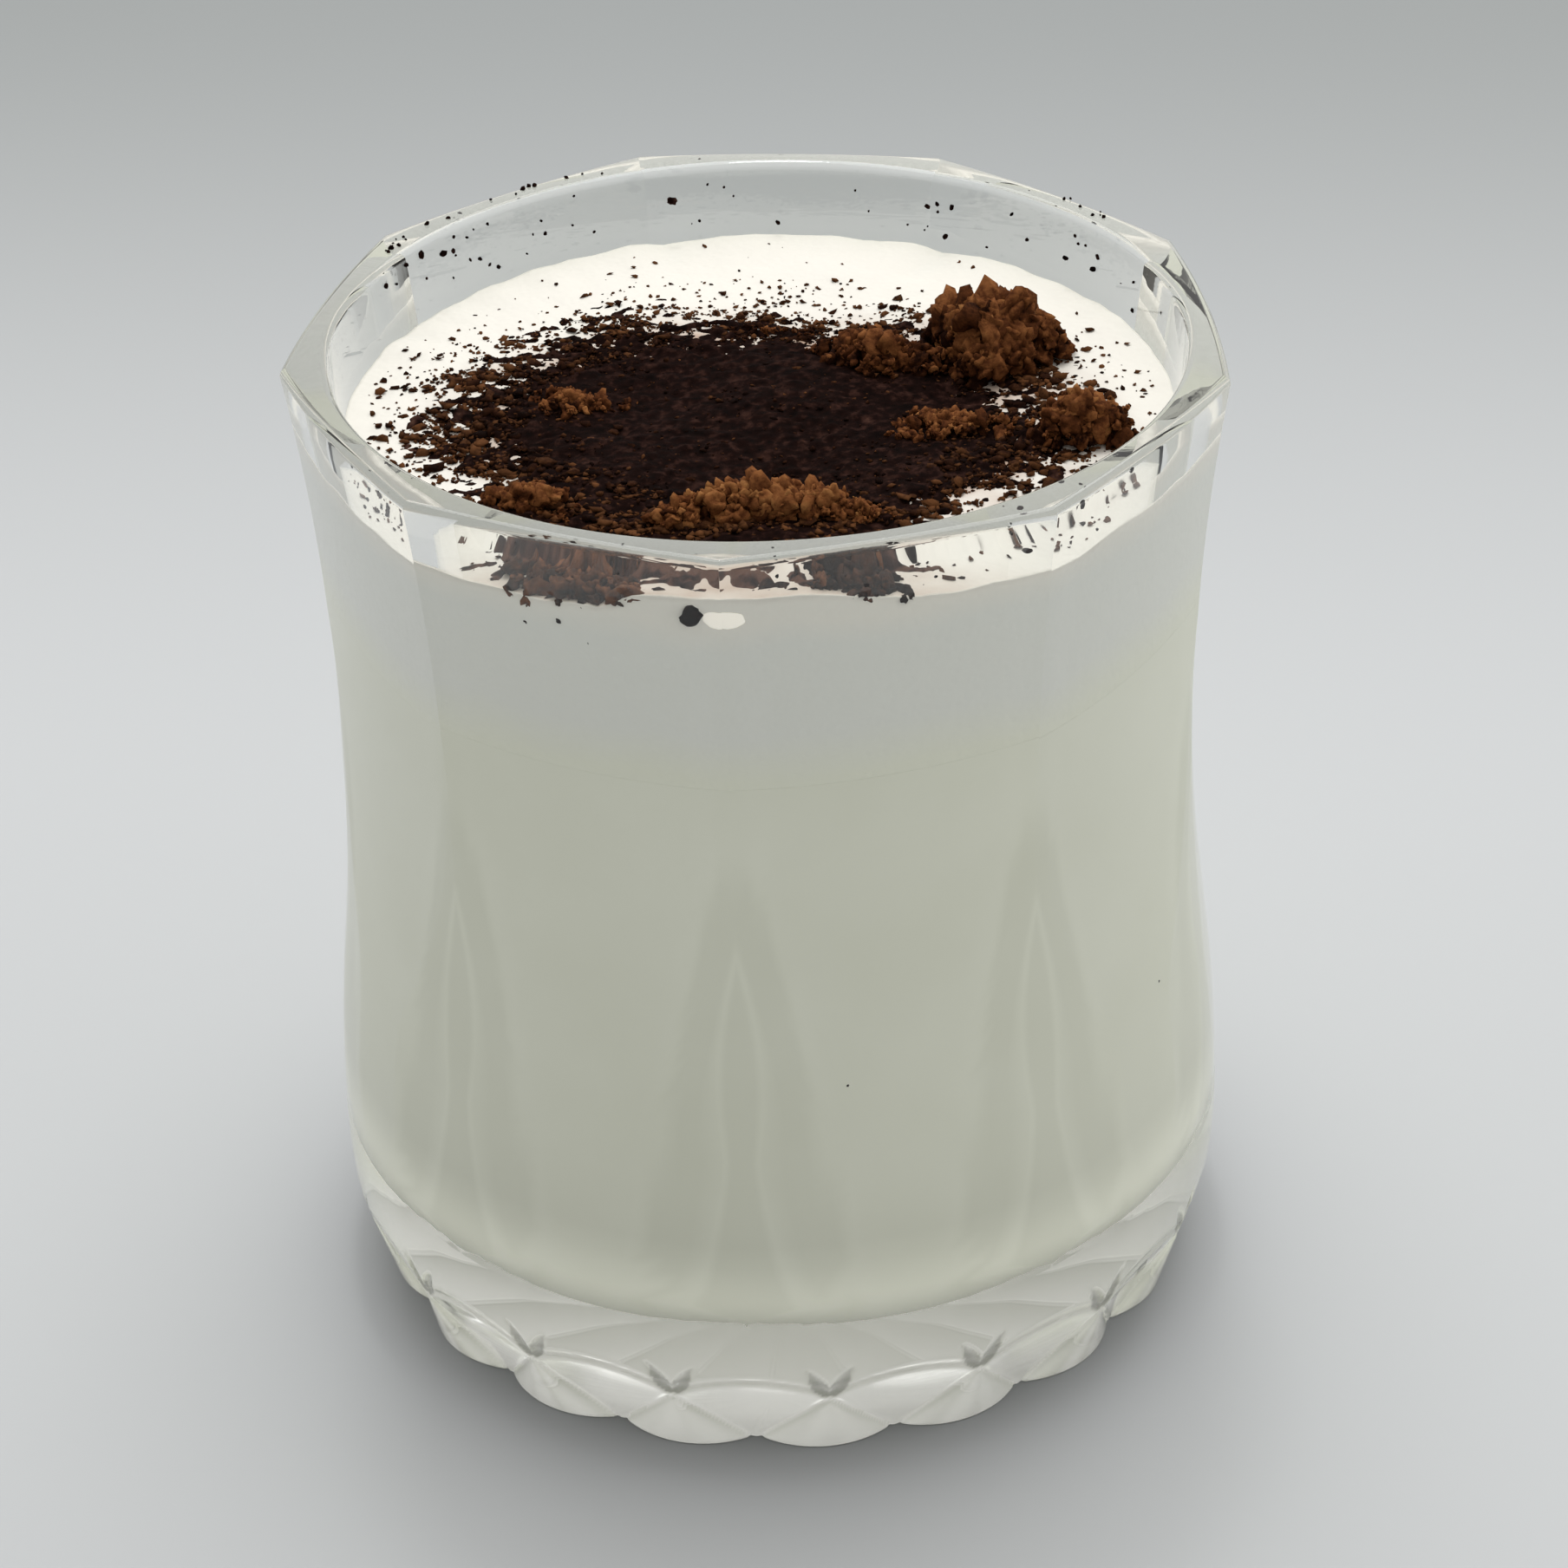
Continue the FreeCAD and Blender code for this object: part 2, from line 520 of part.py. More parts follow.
def dusting_outline(sheet):
    """Make the wavy closed outline of the dusting as a prism that stands through the foam."""
    length, width, back, ripple = [value(sheet, name) for name in (
        "dust_length", "dust_width", "dust_back", "dust_ripple")]
    points = []
    for number in range(OUTLINE_POINTS):
        angle = 2 * math.pi * number / OUTLINE_POINTS
        wave = ripple * sum(share * math.sin(count * angle + start)
                            for count, share, start in DUST_WAVES)
        points.append(Vec((length / 2 + wave) * math.cos(angle),
                          back + (width / 2 + wave) * math.sin(angle), 0))
    curve = Part.BSplineCurve()
    curve.interpolate(points, PeriodicFlag=True)
    face = Part.Face(Part.Wire(curve.toShape()))
    return face.extrude(Vec(0, 0, value(sheet, "glass_height")))


def make_lump(sheet, name):
    """Heap round crumbs into one lump: larger ones in the middle, smaller ones at the edge."""
    right, back, length, width, height, turn, crumbs = [
        value(sheet, name + "_lump_" + size) for size in LUMP_SIZES]
    level = value(sheet, "foam_level")
    count = round(crumbs)
    balls = []
    for number in range(count):
        share = math.sqrt((number + CRUMB_OFFSET) / count)
        angle = math.radians(CRUMB_TURN * number)
        radius = height * (CRUMB_LARGEST - CRUMB_TAPER * share)
        across = (length / 2 - radius) * share * math.cos(angle)
        along = (width / 2 - radius) * share * math.sin(angle)
        rise = level + height - radius - CRUMB_FALL * height * share ** 2
        balls.append(Part.makeSphere(radius, Vec(across, along, rise)))
    lump = balls[0].multiFuse(balls[1:])
    lump.rotate(Vec(), Vec(0, 0, 1), turn)
    lump.translate(Vec(right, back, 0))
    return lump


def build_drink(doc, sheet):
    """Fill the inside of the glass with milk, foam, cocoa dusting and cocoa lumps."""
    body = doc.addObject("PartDesign::Body", "drink_room")
    doc.recompute()
    outline = Outline(body, "drink_outline")
    draw_inside(outline, sheet, " - sizes.seat_gap")
    doc.recompute()
    room = body.newObject("PartDesign::Revolution", "drink_turned")
    room.Profile = outline.sketch
    room.ReferenceAxis = (outline.sketch, ["V_Axis"])
    room.Angle = 360
    below = doc.addObject("Part::Cylinder", "below_milk_level")
    below.setExpression("Radius", "sizes.bulge_reach")
    below.setExpression("Height", "sizes.milk_level")
    doc.recompute()
    milk = combined(doc, "Common", "milk", Base=body, Tool=below)
    doc.recompute()
    skin = foam_top(sheet, 0)
    depth = Vec(0, 0, -value(sheet, "glass_height"))
    under_skin = skin.extrude(depth)
    foam = shaped(doc, "foam", body.Shape.common(under_skin).cut(below.Shape))
    room_above = body.Shape.cut(under_skin)
    lumps = [shaped(doc, "cocoa_lump_" + row[0], make_lump(sheet, row[0]).common(room_above))
             for row in LUMPS]
    layer = skin.extrude(Vec(0, 0, value(sheet, "dust_thickness"))).common(body.Shape)
    powder = layer.common(dusting_outline(sheet))
    dusting = shaped(doc, "cocoa_dusting", powder.cut([lump.Shape for lump in lumps]))
    return [milk, foam, dusting] + lumps


def check(doc, nodes):
    """Stop unless every object was worked out and every node is sound."""
    for item in doc.Objects:
        if "Invalid" in item.State or "Error" in item.State:
            raise RuntimeError(item.Name + " was not worked out")
    for node in nodes:
        shape = node.Shape
        if shape.isNull() or not shape.isValid() or not shape.Solids:
            raise RuntimeError(node.Name + " is not a sound solid")
        print("%-22s %d solid, %d faces, %.1f mm3" % (
            node.Label, len(shape.Solids), len(shape.Faces), shape.Volume))


def main():
    """Build the drink in its glass and write each piece to its own file."""
    doc = FreeCAD.newDocument("babyccino")
    sheet = make_sheet(doc)
    glass = build_glass(doc, sheet)
    nodes = [glass] + build_drink(doc, sheet)
    for node in nodes:
        node.Label = node.Name
    doc.recompute()
    check(doc, nodes)
    os.makedirs("parts", exist_ok=True)
    for node in nodes:
        node.Shape.exportStep("parts/" + node.Label + ".step")


main()
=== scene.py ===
"""Babyccino in a nine-sided pressed glass: the finish and fine shape of every piece.

Sizes are in millimetres and degrees until they go into a mesh, which is in metres.  Angles round
the glass start at its front ridge, on -Y, and grow towards +X.
"""
import logging
import math
from dataclasses import dataclass
from enum import Enum
from typing import Any, Optional, Sequence

import bmesh
import bpy
import numpy as np
from mathutils import Matrix, Vector


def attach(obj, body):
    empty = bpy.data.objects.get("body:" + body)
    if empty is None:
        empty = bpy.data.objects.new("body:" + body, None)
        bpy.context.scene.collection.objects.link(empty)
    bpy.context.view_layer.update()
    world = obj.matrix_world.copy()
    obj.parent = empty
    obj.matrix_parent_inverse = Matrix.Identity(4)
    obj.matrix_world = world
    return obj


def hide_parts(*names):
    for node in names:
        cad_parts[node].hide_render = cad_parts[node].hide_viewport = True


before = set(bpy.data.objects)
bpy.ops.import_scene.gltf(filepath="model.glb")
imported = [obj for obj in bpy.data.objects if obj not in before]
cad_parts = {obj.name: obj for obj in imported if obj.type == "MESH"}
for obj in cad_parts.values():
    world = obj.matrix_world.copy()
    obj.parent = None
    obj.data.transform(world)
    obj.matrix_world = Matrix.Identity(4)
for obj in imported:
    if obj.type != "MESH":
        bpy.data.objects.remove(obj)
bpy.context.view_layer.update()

MM = 0.001
LOG = logging.getLogger("babyccino")
Array = np.ndarray


# ------------------------------------------------------------------ small tools


def linear(code: str) -> tuple[float, float, float, float]:
    """Turn an sRGB hex code into linear red, green, blue and alpha.

    The sRGB standard divides a level by 12.92 near black; above that it adds 0.055, divides by
    1.055 and raises the result to the power 2.4.

    Args:
        code: Six hex digits after a hash sign.

    Returns:
        The linear colour with an alpha of 1.
    """
    levels = np.array([int(code[i:i + 2], 16) for i in (1, 3, 5)]) / 255
    low, high = levels / 12.92, ((levels + 0.055) / 1.055) ** 2.4
    return (*np.where(levels <= 0.04045, low, high).tolist(), 1.0)


def add_node(tree: bpy.types.NodeTree, kind: str, settings: Optional[dict[str, Any]] = None,
             links: Optional[dict[Any, bpy.types.NodeSocket]] = None) -> bpy.types.Node:
    """Add a node with its settings and links.

    Args:
        tree: The node tree of a material or of the world.
        kind: Blender's name of the node type.
        settings: Values by property name or by input name.
        links: Output sockets by input name or number.

    Returns:
        The new node.
    """
    node = tree.nodes.new(kind)
    for name, value in (settings or {}).items():
        if hasattr(node, str(name)):
            setattr(node, name, value)
        else:
            node.inputs[name].default_value = value
    for name, socket in (links or {}).items():
        tree.links.new(socket, node.inputs[name])
    return node


def ramp(tree: bpy.types.NodeTree, factor: bpy.types.NodeSocket,
         stops: Sequence[tuple[float, str]]) -> bpy.types.NodeSocket:
    """Add a colour ramp.

    Args:
        tree: The node tree.
        factor: What runs along the ramp.
        stops: Positions from 0 to 1 with their hex colours.

    Returns:
        The ramp's colour.
    """
    node = add_node(tree, "ShaderNodeValToRGB", None, {"Fac": factor})
    elements = node.color_ramp.elements
    while len(elements) < len(stops):
        elements.new(0.5)
    for element, (place, code) in zip(elements, stops):
        element.position = place
        element.color = linear(code)
    return node.outputs["Color"]


class Field:
    """A smooth random field in space: lattice values, blended with a smooth step."""

    SIDE = 32
    SHIFT = 7.3

    def __init__(self, seed: int) -> None:
        """Fill the lattice from a fixed seed."""
        self.table = np.random.default_rng(seed).random((self.SIDE,) * 3)

    def plain(self, points: Array) -> Array:
        """Blend the eight lattice values round each point.

        Args:
            points: Points, in cells of the lattice.

        Returns:
            A value from -1 to 1 for each point.
        """
        base = np.floor(points).astype(int)
        part = points - base
        part = part * part * (3 - 2 * part)
        total = np.zeros(points.shape[:-1])
        for corner in np.ndindex(2, 2, 2):
            weight = np.prod(np.where(corner, part, 1 - part), axis=-1)
            index = (base + corner) % self.SIDE
            total += weight * self.table[index[..., 0], index[..., 1], index[..., 2]]
        return 2 * total - 1

    def rough(self, points: Array, octaves: int = 3) -> Array:
        """Add octaves, each half as large and half as strong as the one before."""
        return sum(self.plain(points * 2 ** n + self.SHIFT * n) / 2 ** n for n in range(octaves))


def soft_min(one: Array, other: Array, width: float) -> Array:
    """Take the lower of two values, rounded where they are closer than width."""
    near = np.maximum(width - np.abs(one - other), 0) / width
    return np.minimum(one, other) - near ** 2 * width / 4


def soft_step(value: Array, low: float, high: float) -> Array:
    """Rise smoothly from 0 at low to 1 at high."""
    share = np.clip((value - low) / (high - low), 0, 1)
    return share * share * (3 - 2 * share)


def fold(angle: Array, period: float) -> Array:
    """Give the distance of each angle from the nearest multiple of the period."""
    return np.abs((angle + period / 2) % period - period / 2)


def to_points(across: Array, back: Array, level: Any = 0.0) -> Array:
    """Stack places and heights into points."""
    return np.stack(np.broadcast_arrays(across, back, level), axis=-1)


def around(reach: Array, angle: Array, level: Any) -> Array:
    """Turn distance from the axis, angle and height into points."""
    turn = np.radians(angle)
    return to_points(reach * np.sin(turn), -reach * np.cos(turn), level)


def grid_faces(rows: int, columns: int, start: int = 0, closed: bool = True) -> Array:
    """Join a grid of points into four-sided faces.

    Args:
        rows: Rows of points.
        columns: Points in each row.
        start: Number of the first point.
        closed: Whether each row closes on itself.

    Returns:
        One row of four point numbers for each face.
    """
    row = np.arange(rows - 1)[:, None] * columns + start
    column = np.arange(columns if closed else columns - 1)[None, :]
    after = (column + 1) % columns
    corners = (row + column, row + after, row + after + columns, row + column + columns)
    return np.stack(np.broadcast_arrays(*corners), axis=-1).reshape(-1, 4)


def fan(tip: int, ring: Array) -> Array:
    """Join a ring of point numbers to one tip with triangles."""
    return np.stack([np.full(len(ring), tip), ring, np.roll(ring, -1)], axis=-1)


def make_piece(name: str, points: Array, faces: Sequence[Array], material: bpy.types.Material,
               tone: Optional[Array] = None) -> bpy.types.Object:
    """Put points and faces into a smooth-shaded mesh object at the origin.

    Args:
        name: The piece's name.
        points: Points in millimetres.
        faces: Arrays of point numbers, each with one row a face.
        material: The finish.
        tone: A value for each point, kept as the attribute "tone".

    Returns:
        The new object, linked to the scene.
    """
    mesh = bpy.data.meshes.new(name)
    flat = points.reshape(-1, 3) * MM
    corners = np.concatenate([block.ravel() for block in faces])
    sizes = np.concatenate([np.full(len(block), block.shape[1]) for block in faces])
    mesh.vertices.add(len(flat))
    mesh.vertices.foreach_set("co", flat.ravel())
    mesh.loops.add(len(corners))
    mesh.loops.foreach_set("vertex_index", corners)
    mesh.polygons.add(len(sizes))
    mesh.polygons.foreach_set("loop_start", np.concatenate([[0], np.cumsum(sizes)[:-1]]))
    mesh.polygons.foreach_set("use_smooth", np.ones(len(sizes), dtype=bool))
    mesh.update(calc_edges=True)
    if tone is not None:
        mesh.attributes.new("tone", "FLOAT", "POINT").data.foreach_set("value", tone.ravel())
    mesh.validate()
    mesh.materials.append(material)
    piece = bpy.data.objects.new(name, mesh)
    bpy.context.scene.collection.objects.link(piece)
    return piece


def report(piece: bpy.types.Object) -> None:
    """Log a finished piece with its count of faces."""
    LOG.info("%-20s %7d faces", piece.name, len(piece.data.polygons))


# ------------------------------------------------------------------ finishes


class Slot(Enum):
    """Material slots of the record."""

    GLASS = "pressed_glass"
    MILK = "warm_milk"
    FOAM = "milk_foam"
    POWDER = "cocoa_powder"
    CRUMB = "cocoa_crumb"


def new_material(name: str) -> tuple[bpy.types.Material, bpy.types.NodeTree]:
    """Make an empty node material.

    Args:
        name: Its name, for the real material.

    Returns:
        The material and its node tree.
    """
    material = bpy.data.materials.new(name)
    material.use_nodes = True
    material.node_tree.nodes.clear()
    return material, material.node_tree


def place_socket(tree: bpy.types.NodeTree) -> bpy.types.NodeSocket:
    """Give the piece's own coordinates, in metres."""
    return add_node(tree, "ShaderNodeTexCoord").outputs["Object"]


def height_socket(tree: bpy.types.NodeTree, place: bpy.types.NodeSocket) -> bpy.types.NodeSocket:
    """Give the height of a place."""
    return add_node(tree, "ShaderNodeSeparateXYZ", None, {0: place}).outputs["Z"]


def tone_socket(tree: bpy.types.NodeTree) -> bpy.types.NodeSocket:
    """Give the tone that the mesh carries."""
    return add_node(tree, "ShaderNodeAttribute", {"attribute_name": "tone"}).outputs["Fac"]


def per_metre(size_mm: float) -> float:
    """Turn the size of a pattern's features in millimetres into a texture scale."""
    return 1 / (size_mm * MM)


def add_noise(tree: bpy.types.NodeTree, place: bpy.types.NodeSocket, size_mm: float,
              detail: float, roughness: float = 0.5) -> bpy.types.NodeSocket:
    """Add a noise.

    Args:
        tree: The node tree.
        place: Where it is looked up.
        size_mm: The size of its features.
        detail: How many finer layers it has.
        roughness: How strong the finer layers are.

    Returns:
        Its value.
    """
    return add_node(tree, "ShaderNodeTexNoise", {
        "Scale": per_metre(size_mm), "Detail": detail, "Roughness": roughness},
        {"Vector": place}).outputs["Fac"]


def add_relief(tree: bpy.types.NodeTree, pattern: bpy.types.NodeSocket, depth_mm: float,
               strength: float) -> bpy.types.NodeSocket:
    """Turn a pattern into fine relief of a depth in millimetres."""
    return add_node(tree, "ShaderNodeBump", {"Strength": strength, "Distance": depth_mm * MM},
                    {"Height": pattern}).outputs["Normal"]


def add_range(tree: bpy.types.NodeTree, value: bpy.types.NodeSocket, low_mm: float,
              high_mm: float, settings: Optional[dict[str, Any]] = None) -> bpy.types.NodeSocket:
    """Give how far a coordinate has come from a low to a high place, from 0 to 1."""
    return add_node(tree, "ShaderNodeMapRange", {
        "From Min": low_mm * MM, "From Max": high_mm * MM, **(settings or {})},
        {"Value": value}).outputs[0]


def calculate(tree: bpy.types.NodeTree, operation: str, *operands: Any) -> bpy.types.NodeSocket:
    """Work out a value from numbers and sockets.

    Args:
        tree: The node tree.
        operation: Blender's name of the operation.
        operands: Numbers or sockets, in order.

    Returns:
        The result.
    """
    sockets = {number: operand for number, operand in enumerate(operands)
               if isinstance(operand, bpy.types.NodeSocket)}
    values = {number: operand for number, operand in enumerate(operands)
              if number not in sockets}
    return add_node(tree, "ShaderNodeMath", {"operation": operation, **values},
                    sockets).outputs[0]


def add_output(tree: bpy.types.NodeTree, shader: bpy.types.Node) -> None:
    """Link a shader to the material's surface."""
    add_node(tree, "ShaderNodeOutputMaterial", None, {"Surface": shader.outputs[0]})


def add_surface(tree: bpy.types.NodeTree, settings: dict[str, Any],
                links: Optional[dict[Any, bpy.types.NodeSocket]] = None) -> None:
    """Give the material one opaque shader with these settings and links."""
    add_output(tree, add_node(tree, "ShaderNodeBsdfPrincipled", settings, links))


@dataclass(frozen=True)
class PressedGlass:
    """Soda-lime glass, pressed in a mould, fire polished: clear, faintly wavy, painted shade by
    facet.
    """

    # Tone colours: painted shade in cuts, painted shade on flats, own tint, painted highlight.
    cut: str = "#8f908b"
    painted_dim: str = "#dedfd9"
    tint: str = "#f6f7f4"
    clear: str = "#ffffff"
    shadow: str = "#f4f5f3"
    foot_shadow: str = "#6e706c"
    foot_mm: float = 11.0
    foot_blend_mm: float = 3.0
    ior: float = 1.52
    roughness: float = 0.015
    under_roughness: float = 0.28
    under_from_mm: float = 0.1
    under_to_mm: float = 0.3
    wave_mm: float = 9.0
    wave_depth_mm: float = 0.02

    def material(self) -> bpy.types.Material:
        """Build the material; lamps reach through it to what it holds.

        Returns:
            The material.
        """
        material, tree = new_material("soda_lime_glass_fire_polished")
        waves = add_noise(tree, place_socket(tree), self.wave_mm, 1.0)
        normal = add_relief(tree, waves, self.wave_depth_mm, 1.0)
        # The tone paints light and shade by facet, in place of the glass's refraction.
        colour = ramp(tree, tone_socket(tree), [
            (0.0, self.cut), (0.35, self.painted_dim), (0.7, self.tint), (1.0, self.clear)])
        height = height_socket(tree, place_socket(tree))
        sanded = add_range(tree, height, self.under_from_mm, self.under_to_mm,
                           {"To Min": self.under_roughness, "To Max": self.roughness})
        glass = add_node(tree, "ShaderNodeBsdfPrincipled",
                         {"IOR": self.ior, "Transmission Weight": 1.0},
                         {"Normal": normal, "Base Color": colour, "Roughness": sanded})
        above = add_range(tree, height, self.foot_mm, self.foot_mm + self.foot_blend_mm)
        through = ramp(tree, above, [(0.0, self.foot_shadow), (1.0, self.shadow)])
        clear = add_node(tree, "ShaderNodeBsdfTransparent", None, {"Color": through})
        path = add_node(tree, "ShaderNodeLightPath").outputs
        direct = calculate(tree, "MAXIMUM", path["Is Shadow Ray"], path["Is Diffuse Ray"])
        add_output(tree, add_node(tree, "ShaderNodeMixShader", None, {
            0: direct, 1: glass.outputs[0], 2: clear.outputs[0]}))
        return material


@dataclass(frozen=True)
class WarmMilk:
    """Whole milk against glass: opaque, cream, faintly clouded, with no gloss of its own.

    Its underside glows: painted light standing in for light that soaks down through it.
    """

    deep: str = "#edeede"
    pale: str = "#f1f2e3"
    cloud_mm: float = 14.0
    under_light: float = 0.5

    def material(self) -> bpy.types.Material:
        """Build the material.

        Returns:
            The material.
        """
        material, tree = new_material("whole_milk_warm")
        clouds = add_noise(tree, place_socket(tree), self.cloud_mm, 2.0)
        colour = ramp(tree, clouds, [(0.3, self.deep), (0.7, self.pale)])
        # Painted light: the tone makes the milk glow towards its floor.
        glow = calculate(tree, "MULTIPLY", tone_socket(tree), self.under_light)
        add_surface(tree, {"Roughness": 0.6, "Specular IOR Level": 0.1},
                    {"Base Color": colour, "Emission Color": colour, "Emission Strength": glow})
        return material


@dataclass(frozen=True)
class MilkFoam:
    """Steamed milk foam: white and finely bubbled on top, turning to milk where it ends."""

    top: str = "#f4f1e8"
    side: str = "#ecede7"
    milk: str = "#eff0e0"
    dusted: str = "#a98468"
    milk_level: float = 66.5
    blend_mm: float = 4.5
    span_mm: float = 16.0
    start_mm: float = 1.7
    cloud_mm: float = 9.0
    cloud_lift_mm: float = 3.0
    bubble_mm: float = 0.7
    bubble_depth_mm: float = 0.12

    def material(self) -> bpy.types.Material:
        """Build the material: colour by height with a cloudy boundary, and bubbles as relief.

        Returns:
            The material.
        """
        material, tree = new_material("steamed_milk_foam")
        place = place_socket(tree)
        height = height_socket(tree, place)
        clouds = add_noise(tree, place, self.cloud_mm, 3.0)
        shifted = calculate(tree, "MULTIPLY_ADD", clouds, self.cloud_lift_mm * MM, height)
        start = self.milk_level + self.start_mm
        level = add_range(tree, shifted, start, start + self.span_mm)
        clean = ramp(tree, level, [
            (0.0, self.milk), (self.blend_mm / self.span_mm, self.side), (0.8, self.side),
            (0.95, self.top)])
        dust = tone_socket(tree)
        tinted = add_node(tree, "ShaderNodeMix", {"data_type": "RGBA"})
        tree.links.new(dust, tinted.inputs[0])
        tree.links.new(clean, tinted.inputs[6])
        tinted.inputs[7].default_value = linear(self.dusted)
        cells = add_node(tree, "ShaderNodeTexVoronoi",
                         {"feature": "SMOOTH_F1", "Scale": per_metre(self.bubble_mm),
                          "Smoothness": 0.6}, {"Vector": place})
        normal = add_relief(tree, cells.outputs["Distance"], self.bubble_depth_mm, 0.5)
        add_surface(tree, {"Roughness": 0.5, "Specular IOR Level": 0.3},
                    {"Base Color": tinted.outputs[2], "Normal": normal})
        return material


@dataclass(frozen=True)
class HollowFoam:
    """Foam round a hollow, with painted light: a glow in place of daylight reaching in from above.
    """

    colour: str = "#f4efe4"
    light: float = 0.34

    def material(self) -> bpy.types.Material:
        """Build the material.

        Returns:
            The material.
        """
        material, tree = new_material("steamed_milk_foam_hollow_glow")
        colour = linear(self.colour)
        # Painted light: the emission makes the hollow glow.
        add_surface(tree, {"Base Color": colour, "Roughness": 0.5, "Emission Color": colour,
                           "Emission Strength": self.light})
        return material


@dataclass(frozen=True)
class Cocoa:
    """Unsweetened cocoa: fine powder whose colour goes from near black when wet to dry brown."""

    name: str
    dark: str
    middle: str
    light: str
    pale: str
    roughness: float = 0.85
    gloss: float = 0.03
    grit_mm: float = 0.7
    grit_depth_mm: float = 0.12
    mottle: float = 0.9

    def material(self) -> bpy.types.Material:
        """Build the material: tone by grain from the attribute, mottled by fine grit.

        Real cocoa is finer than the grit here, which is as coarse as it needs to be to show.

        Returns:
            The material.
        """
        material, tree = new_material(self.name)
        grit = add_noise(tree, place_socket(tree), self.grit_mm, 4.0, 0.65)
        mottled = calculate(tree, "MULTIPLY_ADD", grit, self.mottle, tone_socket(tree))
        level = calculate(tree, "SUBTRACT", mottled, self.mottle / 2)
        colour = ramp(tree, level, [(0.15, self.dark), (0.45, self.middle), (0.7, self.light),
                                    (1.0, self.pale)])
        add_surface(tree, {"Roughness": self.roughness, "Specular IOR Level": self.gloss},
                    {"Base Color": colour,
                     "Normal": add_relief(tree, grit, self.grit_depth_mm, 0.8)})
        return material


@dataclass(frozen=True)
class TableTop:
    """Plain matt table laminate, pale near the glass, with painted shade greying it far behind."""

    near: str = "#cccfd1"
    # The far colour is painted shade; the near colour is the laminate's own.
    far: str = "#999d9d"
    near_mm: float = 60.0
    far_mm: float = 330.0

    def material(self) -> bpy.types.Material:
        """Build the material: painted shade grows with distance behind the glass.

        Returns:
            The material.
        """
        material, tree = new_material("table_laminate_matt")
        back = add_node(tree, "ShaderNodeSeparateXYZ", None, {0: place_socket(tree)})
        level = add_range(tree, back.outputs["Y"], self.near_mm, self.far_mm,
                          {"interpolation_type": "SMOOTHSTEP"})
        colour = ramp(tree, level, [(0.0, self.near), (1.0, self.far)])
        add_surface(tree, {"Roughness": 0.6, "Specular IOR Level": 0.2}, {"Base Color": colour})
        return material


DAMP_COCOA = Cocoa("cocoa_powder_damp", "#090302", "#180a07", "#34201a", "#5d4236")
GRAIN_COCOA = Cocoa("cocoa_powder_grains", "#140906", "#311b10", "#553620", "#6a4429")
DRY_COCOA = Cocoa("cocoa_powder_dry", "#1f0e07", "#55301a", "#82522f", "#a06f42",
                  grit_depth_mm=0.25)
WET_COCOA = Cocoa("cocoa_powder_wet", "#1c0f08", "#4c2e1c", "#754b31", "#8e6044", roughness=0.6,
                  gloss=0.08, grit_depth_mm=0.2)


# ------------------------------------------------------------------ the glass


@dataclass(frozen=True)
class FlaredSide:
    """A side of three arcs: it flares to the rim, narrows at the waist and swells below."""

    rim: float
    waist: float
    waist_level: float
    turn_level: float
    foot: float
    foot_level: float
    height: float = 89.1

    def reach(self, level: Array) -> Array:
        """Give the distance from the axis at each height.

        The flare is a circle that stands upright at the waist; below it an arc leans out to the
        turn level, and the arc that follows it stands upright again at the foot level.

        Args:
            level: Heights.

        Returns:
            Distances from the axis, before the glass is cut.
        """
        flare = ((self.rim - self.waist) ** 2 + (self.height - self.waist_level) ** 2)
        flare /= 2 * (self.rim - self.waist)
        lean = 2 * math.atan2(self.foot - self.waist, self.waist_level - self.foot_level)
        inward = (self.waist_level - self.turn_level) / math.sin(lean)
        outward = (self.turn_level - self.foot_level) / math.sin(lean)
        rise = np.clip(level - self.waist_level, 0, None)
        drop = np.clip(self.waist_level - level, 0, self.waist_level - self.turn_level)
        last = np.clip(level - self.foot_level, -outward * 0.9, None)
        upper = self.waist + flare - np.sqrt(flare ** 2 - rise ** 2)
        middle = self.waist + inward - np.sqrt(inward ** 2 - drop ** 2)
        lower = self.foot - outward + np.sqrt(np.maximum(outward ** 2 - last ** 2, 0))
        return np.where(level >= self.waist_level, upper,
                        np.where(level >= self.turn_level, middle, lower))


@dataclass(frozen=True)
class WallTones:
    """Painted light and shade on the glass: 0 in the deepest cut, 1 at the palest, and their
    widths.

    Widths ending in _angle are in degrees round the glass, the others in millimetres.
    """

    # Below plain is painted shade on flats, along lines and in star cuts; above it painted
    # highlights.
    plain: float = 0.7
    flat: float = -0.2
    crease_highlight: float = 0.24
    beside: float = 0.1
    gable: float = -0.45
    star: float = -0.6
    lobe: float = 0.3
    edge_angle: float = 0.8
    crease_width: float = 0.03
    beside_angle: float = 1.4
    least_angle: float = 2.0
    start: float = 0.12
    bend: float = 0.7
    rim_band: float = 6.0


